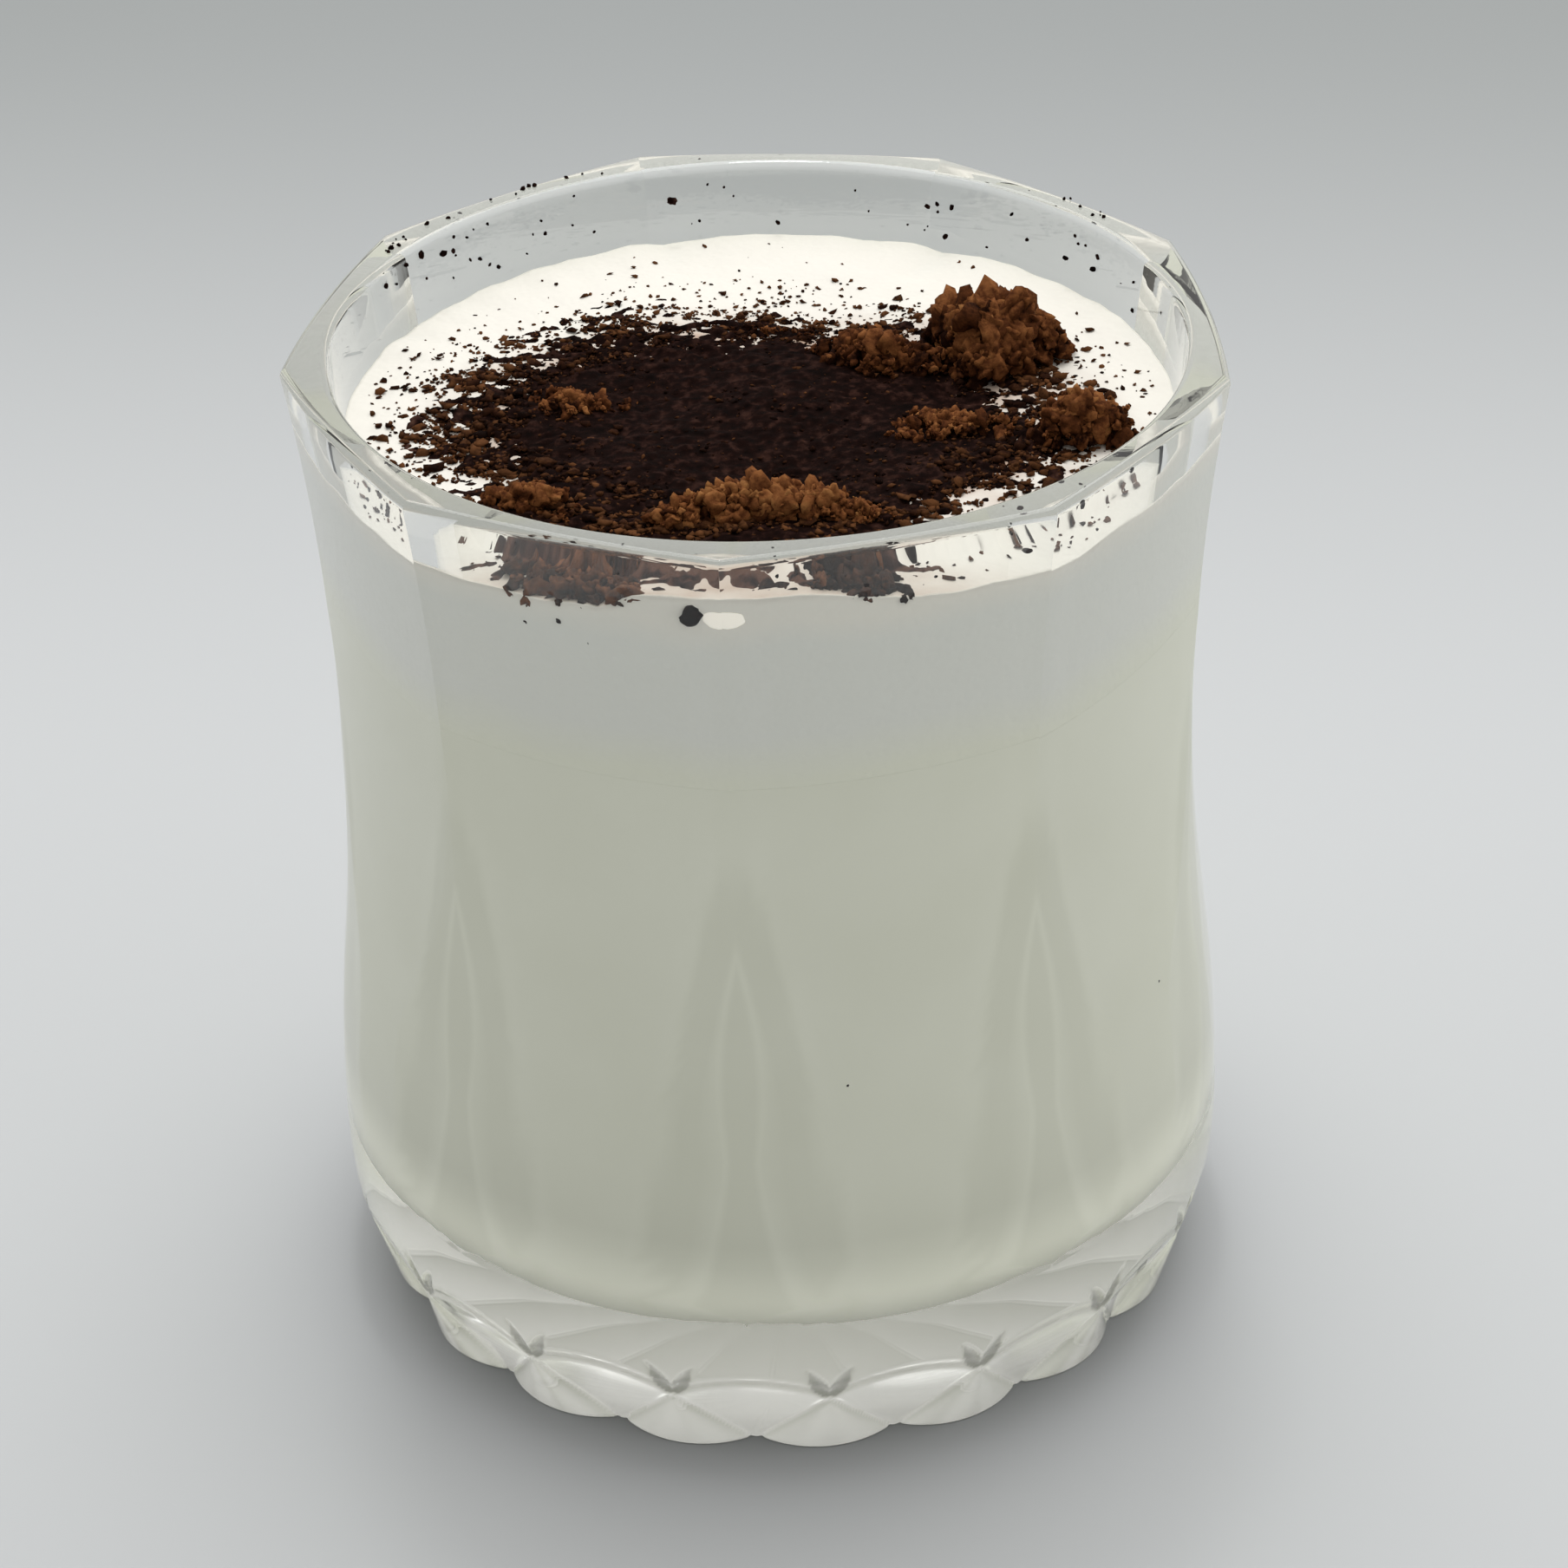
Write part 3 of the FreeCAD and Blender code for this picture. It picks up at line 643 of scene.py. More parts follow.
@dataclass(frozen=True)
class Tumbler:
    """The pressed glass: panels, darts and flats over a cut foot, with a smooth round bore.

    Half a sector runs from a ridge to the middle of a panel.  Creases are rounded by the sizes
    that end in _crease.
    """

    height: float = 89.1
    sector: float = 40.0
    swing: float = 77.2
    flat_angle: float = 9.0
    panel: FlaredSide = FlaredSide(38.4, 35.9, 58.0, 39.0, 39.9, 8.0)
    turned: FlaredSide = FlaredSide(41.0, 37.4, 52.0, 33.0, 39.7, 14.0)
    flat: FlaredSide = FlaredSide(41.5, 37.0, 58.0, 31.0, 39.78, 11.0)
    foot_reach: float = 36.9
    bulge_reach: float = 39.7
    bulge_level: float = 14.0
    notch_reach: float = 34.9
    peak_reach: float = 39.4
    peak_level: float = 9.5
    crossing_level: float = 7.3
    lobe_reach: float = 36.6
    star_depth: float = 0.4
    star_width: float = 0.95
    star_climb: float = 3.9
    star_spread: float = 2.2
    star_fullness: float = 2.2
    wedge_top: float = 62.0
    wedge_angle: float = 14.0
    line_depth: float = 0.2
    line_width: float = 0.2
    rim_round: float = 0.75
    base_round: float = 0.5
    bore_rim: float = 35.9
    bore_neck: float = 33.4
    neck_level: float = 58.0
    bore_floor: float = 32.6
    base_thickness: float = 11.5
    floor_fillet: float = 4.0
    cut_top: float = 16.0
    flat_crease: float = 0.03
    panel_crease: float = 0.04
    lobe_crease: float = 0.05
    foot_crease: float = 0.06
    half_columns: int = 24
    foot_rows: int = 54
    body_rows: int = 46
    bore_rows: int = 22
    tones: WallTones = WallTones()

    def swung(self, reach: Array, aside: Array) -> Array:
        """Give the distance from the glass's axis to a flank turned about its own axis.

        The flank's axis lies a swing behind the glass's axis, so the flank is a circle in plan:
        the distance follows from the cosine rule.

        Args:
            reach: Distances of the flank in its middle.
            aside: Angles from its middle.

        Returns:
            Distances from the glass's axis.
        """
        turn = np.radians(aside)
        radius = reach + self.swing
        return -self.swing * np.cos(turn) + np.sqrt(
            radius ** 2 - (self.swing * np.sin(turn)) ** 2)

    def body(self, angle: Array, level: Array) -> Array:
        """Give the reach of the body: the nearest of the turned form, the flats and the panels.

        Args:
            angle: Angles round the glass.
            level: Heights.

        Returns:
            Distances from the axis.
        """
        aside = fold(angle, self.sector)
        shoulder = ((self.bulge_reach - self.foot_reach) ** 2 + self.bulge_level ** 2)
        shoulder /= 2 * (self.bulge_reach - self.foot_reach)
        under = np.clip(self.bulge_level - level, 0, None)
        low = self.bulge_reach - shoulder + np.sqrt(shoulder ** 2 - under ** 2)
        turned = np.where(level < self.bulge_level, low, self.turned.reach(level))
        flat = self.swung(self.flat.reach(level), aside - self.flat_angle)
        panel = self.swung(self.panel.reach(level), self.sector / 2 - aside)
        return soft_min(soft_min(turned, flat, self.flat_crease), panel, self.panel_crease)

    def foot(self, angle: Array, level: Array) -> tuple[Array, Array]:
        """Give the reach of the foot, and how close each place is to the edge of a lobe.

        The foot has leaning facets, with a round lobe under each crossing.  A facet is a plane,
        so its reach grows by one over the cosine of the angle beside it.  A lobe is a slanting
        cone whose tip is the crossing, so each level cuts it in a circle.

        Args:
            angle: Angles round the glass.
            level: Heights.

        Returns:
            Distances from the axis, and closeness to a lobe's edge from 0 to 1.
        """
        step = self.sector / 4
        aside = fold(angle, 2 * step)
        lean = (self.peak_reach - self.notch_reach) / self.peak_level
        facet = (self.notch_reach + lean * level) / np.cos(np.radians(aside))
        half = math.radians(step)
        crossing = (self.notch_reach + lean * self.crossing_level) / math.cos(half)
        chord = self.notch_reach * math.cos(half)
        seat = chord + (crossing - chord) * level / self.crossing_level
        seat = seat / np.cos(np.radians(step - aside))
        rise = self.lobe_reach - chord
        radius = (rise ** 2 + (self.notch_reach * math.sin(half)) ** 2) / (2 * rise)
        share = np.clip(level / self.crossing_level, 0, 1)
        middle = self.lobe_reach - radius
        middle = middle + (crossing - middle) * share
        off = middle * np.sin(np.radians(step - aside))
        inside = (radius * (1 - share)) ** 2 - off ** 2
        lobe = middle * np.cos(np.radians(step - aside)) + np.sqrt(np.maximum(inside, 0))
        cut = soft_min(facet, seat, self.lobe_crease)
        apart = np.where(inside > 0, lobe - cut, -1.0)
        edge = np.clip(1 - np.abs(apart) / self.line_width, 0, 1)
        reach = np.where(inside > 0, -soft_min(-cut, -lobe, self.lobe_crease), cut)
        return reach - self.line_depth * edge, edge

    def star(self, angle: Array, level: Array) -> Array:
        """Give the depth of the two tapering cuts that climb from each crossing.

        Each is a leaf about a line: its half width is the root of the run along the line, times
        what is left of the run, and it is deepest on the line.

        Args:
            angle: Angles round the glass.
            level: Heights.

        Returns:
            Depths into the wall.
        """
        step = self.sector / 4
        sideways = np.radians(step - fold(angle, 2 * step)) * self.bulge_reach
        up = level - self.crossing_level
        length = math.hypot(self.star_spread, self.star_climb)
        run = (sideways * self.star_spread + up * self.star_climb) / length ** 2
        off = np.abs(sideways * self.star_climb - up * self.star_spread) / length
        run = np.clip(run, 0, 1)
        leaf = self.star_fullness * np.sqrt(run) * (1 - run)
        return self.star_depth * np.clip(leaf - off / self.star_width, 0, 1)

    def outside(self, angle: Array, level: Array) -> Array:
        """Give the reach of the whole outer surface.

        Args:
            angle: Angles round the glass.
            level: Heights.

        Returns:
            Distances from the axis.
        """
        body, (foot, _) = self.body(angle, level), self.foot(angle, level)
        line = np.clip(1 - np.abs(body - foot) / self.line_width, 0, 1) * self.line_depth
        cut = soft_min(body, foot, self.foot_crease) - line - self.star(angle, level)
        return np.where(level < self.cut_top, cut, body)

    def shade(self, angle: Array, level: Array) -> Array:
        """Give the wall's tone: painted shade on flats and in cuts, painted highlights on creases.

        Args:
            angle: Angles round the glass.
            level: Heights.

        Returns:
            Tones from 0 to 1.
        """
        tones = self.tones
        aside = fold(angle, self.sector)
        drop = np.clip((self.wedge_top - level) / (self.wedge_top - self.cut_top), 0, 1)
        outer = self.wedge_angle * drop ** tones.bend
        wedge = 1 - soft_step(aside, outer - tones.edge_angle, outer + tones.edge_angle)
        wedge *= soft_step(drop, 0.0, tones.start)
        turned = self.turned.reach(level)
        flat = self.swung(self.flat.reach(level), aside - self.flat_angle)
        crease_highlight = np.exp(-(np.abs(flat - turned) / tones.crease_width) ** 2) * wedge
        away = aside - np.maximum(outer, tones.least_angle) - tones.beside_angle
        # Painted shade on the flats, painted highlights along creases and beside the flats.
        added = tones.flat * wedge + tones.crease_highlight * crease_highlight + tones.beside * np.exp(-away ** 2)
        tone = tones.plain + added * soft_step(level, self.cut_top - 4, self.cut_top + 2)
        body, (foot, edge) = self.body(angle, level), self.foot(angle, level)
        line = np.clip(1 - np.abs(body - foot) / (2 * self.line_width), 0, 1)
        leaf = soft_step(self.star(angle, level) / self.star_depth, 0.02, 0.2)
        # Painted shade along the lines over the lobes and in star cuts, painted highlights at lobe
        # edges.
        cut = tone + tones.gable * line + tones.star * leaf + tones.lobe * edge
        return np.where(level > self.height - tones.rim_band, tones.plain,
                        np.where(level < self.cut_top, cut, tone))

    def inside(self, level: Array) -> Array:
        """Give the radius of the bore above its floor fillet: an arc, then a slight taper.

        Args:
            level: Heights.

        Returns:
            Radii.
        """
        flare = (self.bore_rim - self.bore_neck) ** 2 + (self.height - self.neck_level) ** 2
        flare /= 2 * (self.bore_rim - self.bore_neck)
        rise = np.clip(level - self.neck_level, 0, None)
        corner = self.base_thickness + self.floor_fillet
        drop = np.clip((self.neck_level - level) / (self.neck_level - corner), 0, 1)
        upper = self.bore_neck + flare - np.sqrt(flare ** 2 - rise ** 2)
        return upper + (self.bore_floor - self.bore_neck) * drop

    def crease_angles(self, level: float) -> tuple[float, float]:
        """Find where the turned form meets a flat, and the flat meets a panel, beside a ridge.

        Args:
            level: The height.

        Returns:
            The two angles from the ridge.
        """
        aside = np.linspace(0, self.sector / 2, 2001)
        turned = self.turned.reach(np.array(level))
        flat = self.swung(self.flat.reach(np.array(level)), aside - self.flat_angle)
        panel = self.swung(self.panel.reach(np.array(level)), self.sector / 2 - aside)
        edge = np.minimum(turned, flat)
        inner = aside[np.argmax((flat < turned) | (panel < turned))]
        outer = aside[np.argmax(panel < edge)] if np.any(panel < edge) else aside[-1]
        inner = float(np.clip(inner, 0.3, 17.0))
        return inner, float(np.clip(outer, inner + 0.6, 19.0))

    def columns(self, level: float, steps: int, uniform: float) -> Array:
        """Spread columns round the glass so that some follow the creases at this height.

        Args:
            level: The height.
            steps: Columns between a ridge and the middle of a panel.
            uniform: How far the spread is evened out, from 0 to 1.

        Returns:
            Angles once round the glass.
        """
        inner, outer = self.crease_angles(level)
        half = self.sector / 2
        close = min(0.4, inner / 2, (outer - inner) / 4)
        near = min(0.4, (outer - inner) / 4, (half - outer) / 4)
        knots = [0, 4, 5, 6, 10, 11, 12, self.half_columns]
        places = [0, inner - close, inner, inner + close, outer - near, outer, outer + near, half]
        across = np.linspace(0, self.half_columns, steps + 1)
        side = np.interp(across, knots, places) * (1 - uniform)
        side += across * half / self.half_columns * uniform
        one = np.concatenate([side[:-1], self.sector - side[:0:-1]])
        turns = np.arange(round(360 / self.sector)) * self.sector
        return (turns[:, None] + one[None, :]).ravel()

    @staticmethod
    def ring(angle: Array, reach: Any, level: Any) -> tuple[Array, ...]:
        """Give the angles, reaches and heights of one ring of points."""
        return tuple(np.broadcast_arrays(angle, reach, level))

    def rows_of_foot(self) -> list[tuple[Array, ...]]:
        """Build the fine rings of the foot, from the table up.

        Returns:
            The rings, each as angles, reaches and heights.
        """
        steps = 2 * self.half_columns
        even = self.columns(self.base_round, steps, 1.0)
        edge = self.outside(even, np.full_like(even, self.base_round))
        rings = [self.ring(even, edge - self.base_round, 0.0)]
        for turn in np.radians([60, 30]):
            rings.append(self.ring(even, edge - self.base_round * (1 - math.cos(turn)),
                                   self.base_round * (1 - math.sin(turn))))
        for level in np.linspace(self.base_round, self.cut_top, self.foot_rows):
            even_out = float(1 - soft_step(np.array(level), self.cut_top - 2.5, self.cut_top))
            angle = self.columns(level, steps, even_out)
            rings.append(self.ring(angle, self.outside(angle, np.full_like(angle, level)), level))
        return rings

    def rows_above(self) -> list[tuple[Array, ...]]:
        """Build the rings above the foot, over the rim and down the bore to its floor.

        Returns:
            The rings, each as angles, reaches and heights.
        """
        rings = []
        shoulder = self.height - self.rim_round
        for level in np.linspace(self.cut_top, shoulder, self.body_rows)[1:]:
            angle = self.columns(level, self.half_columns, 0.0)
            rings.append(self.ring(angle, self.body(angle, np.full_like(angle, level)), level))
        even, edge, _ = rings[-1]
        for turn in np.radians([18, 36, 54, 72, 90]):
            rings.append(self.ring(even, edge - self.rim_round * (1 - math.cos(turn)),
                                   shoulder + self.rim_round * math.sin(turn)))
        mouth = float(self.inside(np.array(shoulder)))
        for turn in np.radians([90, 72, 54, 36, 18, 0]):
            rings.append(self.ring(even, mouth + self.rim_round * (1 - math.cos(turn)),
                                   shoulder + self.rim_round * math.sin(turn)))
        corner = self.base_thickness + self.floor_fillet
        for level in np.linspace(shoulder, corner, self.bore_rows)[1:]:
            rings.append(self.ring(even, float(self.inside(np.array(level))), level))
        for turn in np.radians([15, 30, 45, 60, 75, 90]):
            rings.append(self.ring(even, self.bore_floor - self.floor_fillet * (1 - math.cos(turn)),
                                   corner - self.floor_fillet * math.sin(turn)))
        return rings

    def build(self) -> bpy.types.Object:
        """Build the glass as one closed mesh, its fine foot joined to the coarser body.

        Returns:
            The piece.
        """
        foot, above = self.rows_of_foot(), self.rows_above()
        low = np.concatenate([around(reach, angle, level) for angle, reach, level in foot])
        high = np.concatenate([around(reach, angle, level) for angle, reach, level in above])
        fine, coarse, outer = len(foot[0][0]), len(above[0][0]), self.body_rows - 1
        start = len(low)
        points = np.concatenate([low, high, [[0, 0, 0], [0, 0, self.base_thickness]]])
        base_tip, floor_tip = len(points) - 2, len(points) - 1
        seam = (len(foot) - 1) * fine
        column = np.arange(coarse)
        left, middle = seam + 2 * column, seam + 2 * column + 1
        right = seam + (2 * column + 2) % fine
        up_left, up_right = start + column, start + (column + 1) % coarse
        join = np.concatenate([
            np.stack([left, middle, up_left], axis=-1),
            np.stack([middle, up_right, up_left], axis=-1),
            np.stack([middle, right, up_right], axis=-1)])
        last = start + (len(above) - 1) * coarse + np.arange(coarse)
        faces = [grid_faces(len(foot), fine), grid_faces(len(above), coarse, start), join,
                 fan(base_tip, np.arange(fine))[:, ::-1], fan(floor_tip, last)]
        # Each point carries the wall's painted light and shade; rim, bore and floor get the plain
        # tone.
        tone = np.concatenate([
            np.concatenate([self.shade(angle, level) for angle, _, level in foot]),
            np.concatenate([self.shade(angle, level) for angle, _, level in above[:outer]]),
            np.full(coarse * (len(above) - outer) + 2, self.tones.plain)])
        glass = make_piece("pressed_glass", points, faces, PressedGlass().material(), tone)
        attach(glass, "root")
        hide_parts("glass")
        return glass


# ------------------------------------------------------------------ the drink


@dataclass(frozen=True)
class DustOutline:
    """The oval that the cocoa dusting covers, and the finest powder about it.

    Distances from the middle count as 1 on the outline.
    """

    length: float = 47.0
    width: float = 37.0
    back: float = -2.5
    cloud: float = 3.0
    haze: float = 0.85
    haze_from: float = 0.82
    haze_to: float = 1.28
    band_from: float = 24.0
    band_to: float = 31.0
    band_half: float = 24.0
    band_haze: float = 0.75

    def spread(self, across: Array, back: Array) -> Array:
        """Give how far a place lies from the middle of the dusting: 1 on its outline."""
        return np.hypot(across / (self.length / 2), (back - self.back) / (self.width / 2))

    def tint(self, across: Array, back: Array) -> Array:
        """Give how strongly the finest powder tints the foam.

        It fades beyond the outline, and a band of it lies along the front wall; both are clouded.

        Args:
            across: Distances to the right of the axis.
            back: Distances behind the axis.

        Returns:
            Strengths from 0 to 1.
        """
        flat = to_points(across, back)
        cloud = 0.55 + 0.45 * Field(6).rough(flat / self.cloud, 3)
        reach = self.spread(across, back) - 0.12 * soft_step(across, 5, 20)
        fade = 1 - soft_step(reach, self.haze_from, self.haze_to)
        front = soft_step(-back, self.band_from, self.band_to)
        front *= np.exp(-((across + 1) / self.band_half) ** 4)
        return np.maximum(self.haze * np.clip(cloud, 0, 1) * fade,
                          front * np.clip(0.2 + 0.6 * cloud, 0, self.band_haze))


@dataclass(frozen=True)
class Drink:
    """Milk under a layer of foam; both reach just into the wall of the glass."""

    glass: Tumbler
    dust: DustOutline = DustOutline()
    milk_level: float = 66.5
    foam_level: float = 82.6
    climb: float = 2.2
    swell: float = 0.45
    wave: float = 27.0
    into_wall: float = 0.2
    lap: float = 0.4
    proud: float = 0.01
    glow: float = 0.65
    glow_height: float = 6.0
    columns: int = 288
    rings: int = 84

    def contact(self, angle: Array) -> Array:
        """Give the height where the foam meets the wall: highest beside the front ridge.

        Args:
            angle: Angles round the glass.

        Returns:
            Heights, with a fine wander.
        """
        aside = (angle + 180) % 360 - 180
        climb = self.climb * soft_step(aside, -17, -10) * (1 - soft_step(aside, 8, 32))
        wander = Field(4).rough(around(np.full_like(aside, 34.0), aside, 0.0) / 3.5, 3)
        return self.foam_level - 0.3 + climb + 0.25 * wander

    def foam_top(self, across: Array, back: Array) -> Array:
        """Give the height of the foam: long swells that bend to the wall, with small bumps.

        Args:
            across: Distances to the right of the axis.
            back: Distances behind the axis.

        Returns:
            Heights.
        """
        turns = 2 * math.pi / self.wave
        wobble = np.sin(turns * across + 0.8) * np.cos(turns * back * 0.9 - 0.4)
        level = self.foam_level + self.swell * (wobble - 0.6 * back / self.glass.bulge_reach)
        reach = np.hypot(across, back)
        angle = np.degrees(np.arctan2(across, -back))
        edge = soft_step(reach, 25.0, 34.6)
        flat = to_points(across, back)
        bumps = 0.10 * Field(5).rough(flat / 2.2, 3)
        return level + (self.contact(angle) - level) * edge + bumps

    def build_milk(self) -> bpy.types.Object:
        """Build the milk as a turned solid that fills the bore up to its level.

        Returns:
            The piece.
        """
        glass = self.glass
        corner = glass.base_thickness + glass.floor_fillet
        turn = np.radians(np.linspace(90, 0, 9))
        reach = glass.bore_floor + self.into_wall - glass.floor_fillet * (1 - np.cos(turn))
        level = corner - self.into_wall - glass.floor_fillet * np.sin(turn)
        climb = np.append(np.linspace(corner + 1, self.milk_level - 0.1, 24), self.milk_level)
        edge = float(glass.inside(climb[-1:])[0]) + self.into_wall
        reach = np.concatenate([reach, glass.inside(climb) + self.into_wall,
                                [edge - 0.1, edge - 0.3]])
        level = np.concatenate([level, climb, [self.milk_level, self.milk_level]])
        # Painted light: the milk glows at its floor, fading out a glow height above the fillet.
        under = self.glow * (1 - soft_step(level, glass.base_thickness,
                                           corner + self.glow_height))
        angle = np.arange(self.columns) * 360 / self.columns
        points = around(reach[:, None], angle[None, :], level[:, None]).reshape(-1, 3)
        tips = [[0, 0, level[0]], [0, 0, self.milk_level]]
        ring = np.arange(self.columns)
        faces = [grid_faces(len(reach), self.columns), fan(len(points), ring)[:, ::-1],
                 fan(len(points) + 1, ring + (len(reach) - 1) * self.columns)]
        tone = np.concatenate([np.repeat(under, self.columns), [1.0, 0.0]])
        milk = make_piece("milk_body", np.concatenate([points, tips]), faces,
                          WarmMilk().material(), tone)
        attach(milk, "root")
        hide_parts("milk")
        return milk

    def build_foam(self) -> bpy.types.Object:
        """Build the foam: a wall-side band, then rings over its top to the middle.

        Returns:
            The piece.
        """
        angle = np.arange(self.columns) * 360 / self.columns
        wall_top = self.contact(angle)
        share = np.append([0, 0, 0, 0.004], np.linspace(0.05, 1, 22))[:, None]
        inset = np.append([0.3, 0.1], np.zeros(24))[:, None]
        start = self.milk_level - self.lap
        side_level = start + (wall_top[None, :] - start) * share
        side_reach = self.glass.inside(side_level) + self.into_wall + self.proud - inset
        side = around(side_reach, angle[None, :], side_level)
        rim = self.glass.inside(wall_top) + self.into_wall + self.proud
        inward = np.linspace(1, 0, self.rings)[1:-1, None]
        flat = around(rim[None, :] * inward, angle[None, :], 0.0)
        flat[..., 2] = self.foam_top(flat[..., 0], flat[..., 1])
        points = np.concatenate([side, flat]).reshape(-1, 3)
        rows = len(share) + self.rings - 2
        middle = float(self.foam_top(np.zeros(1), np.zeros(1))[0])
        ring = np.arange(self.columns)
        faces = [grid_faces(rows, self.columns), fan(len(points), ring)[:, ::-1],
                 fan(len(points) + 1, ring + (rows - 1) * self.columns)]
        tips = [[0, 0, start], [0, 0, middle]]
        every = np.concatenate([points, tips])
        dust = np.append(np.repeat(np.append(np.zeros(len(share)), np.ones(self.rings - 2)),
                                   self.columns), [0, 1])
        dust *= self.dust.tint(every[:, 0], every[:, 1])
        foam = make_piece("milk_foam_layer", every, faces,
                          MilkFoam(milk_level=self.milk_level).material(), dust)
        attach(foam, "root")
        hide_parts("foam")
        return foam


# ------------------------------------------------------------------ the cocoa


@dataclass(frozen=True)
class Stone:
    """The form of a crumb.  Lengths are shares of its size.

    It is finer with more detail, flatten is its height, craggy is how far its points move, flat
    ones all lie flat, and chipped is the least distance from its middle to its flat faces.
    """

    detail: int
    flatten: float
    craggy: float
    flat: bool = False
    chipped: float = 0.45
    whole: float = 0.9
    facets: int = 9
    bumps: float = 1.7
    variety: float = 30
    # The tone follows the relief: painted shade in hollows, painted highlight on bumps.
    mottle: float = 0.25


GRAIN = Stone(1, 0.55, 0.8, flat=True)
CRUMB = Stone(3, 0.85, 0.55)
FLECK = Stone(3, 0.8, 0.2, chipped=0.8)


def round_stone(detail: int) -> tuple[Array, Array]:
    """Give the points and triangles of a sphere made from an icosahedron.

    Args:
        detail: 1 for 20 triangles, and one more for each time they are cut in four.

    Returns:
        Points at a distance of 1, and triangles.
    """
    shape = bmesh.new()
    bmesh.ops.create_icosphere(shape, subdivisions=detail, radius=1.0)
    points = np.array([corner.co[:] for corner in shape.verts])
    faces = np.array([[corner.index for corner in face.verts] for face in shape.faces])
    shape.free()
    return points, faces


def random_turns(rng: np.random.Generator, count: int) -> Array:
    """Give random rotation matrices, worked out from random unit quaternions.

    Args:
        rng: The random source.
        count: How many.

    Returns:
        The matrices.
    """
    quaternion = rng.normal(size=(count, 4))
    quaternion /= np.linalg.norm(quaternion, axis=1, keepdims=True)
    w, x, y, z = quaternion.T
    rows = [[1 - 2 * (y * y + z * z), 2 * (x * y - z * w), 2 * (x * z + y * w)],
            [2 * (x * y + z * w), 1 - 2 * (x * x + z * z), 2 * (y * z - x * w)],
            [2 * (x * z - y * w), 2 * (y * z + x * w), 1 - 2 * (x * x + y * y)]]
    return np.moveaxis(np.array(rows), -1, 0)


def level_turns(rng: np.random.Generator, count: int) -> Array:
    """Give random rotation matrices about the upright axis.

    Args:
        rng: The random source.
        count: How many.

    Returns:
        The matrices.
    """
    turn = rng.uniform(0, 2 * math.pi, count)
    none, one = np.zeros(count), np.ones(count)
    rows = [[np.cos(turn), -np.sin(turn), none], [np.sin(turn), np.cos(turn), none],
            [none, none, one]]
    return np.moveaxis(np.array(rows), -1, 0)


def scatter(rng: np.random.Generator, centres: Array, radii: Array, tones: Array,
            stone: Stone) -> tuple[Array, Array, Array]:
    """Put an uneven stone at every centre.

    Each is a sphere, cut by planes and moved in and out by a random field.  It is then made 1 to
    1.35 long, 0.75 to 1.05 wide and as high as its form says, and turned at random.

    Args:
        rng: The random source.
        centres: One point for each stone.
        radii: One size for each stone.
        tones: One tone for each stone.
        stone: Their form.

    Returns:
        Points, triangles and the tone of each point.
    """
    sphere, triangles = round_stone(stone.detail)
    count = len(centres)
    offsets = rng.random((count, 1, 3)) * stone.variety
    bumps = Field(11).rough(sphere[None] * stone.bumps + offsets, 3)
    planes = rng.normal(size=(count, 3, stone.facets))
    planes /= np.linalg.norm(planes, axis=1, keepdims=True)
    depth = rng.uniform(stone.chipped, stone.whole, (count, 1, stone.facets))
    facing = np.maximum(np.einsum("vi,nik->nvk", sphere, planes), 0.01)
    clod = np.minimum(np.min(depth / facing, axis=-1), 1.0)
    squeeze = np.stack([1 + 0.35 * rng.random(count), 0.75 + 0.3 * rng.random(count),
                        np.full(count, stone.flatten)], axis=-1)
    shape = sphere[None] * (clod * (1 + stone.craggy * bumps))[..., None] * squeeze[:, None, :]
    turns = level_turns(rng, count) if stone.flat else random_turns(rng, count)
    shape = np.einsum("nij,nkj->nki", turns, shape)
    points = centres[:, None, :] + shape * radii[:, None, None]
    faces = triangles[None] + (np.arange(count) * len(sphere))[:, None, None]
    # Painted shade and highlight: points pushed in are darker, points pushed out paler.
    tone = np.repeat(tones, len(sphere)) + stone.mottle * bumps.ravel()
    return points.reshape(-1, 3), faces.reshape(-1, 3), tone


@dataclass(frozen=True)
class Lump:
    """One heap of cocoa crumbs on the foam, about where its node lies and of the node's size.

    A small cluster has no node, only a name.  The size of the crumbs in the middle is a share,
    coarse, of the height; limit keeps them off the wall, and sink lets wet ones down.
    """

    node: str
    across: float
    back: float
    length: float
    width: float
    height: float
    turn: float
    crumbs: int
    tone: float
    coarse: float = 0.24
    finish: Cocoa = DRY_COCOA
    limit: float = 34.6
    sink: float = 0.0


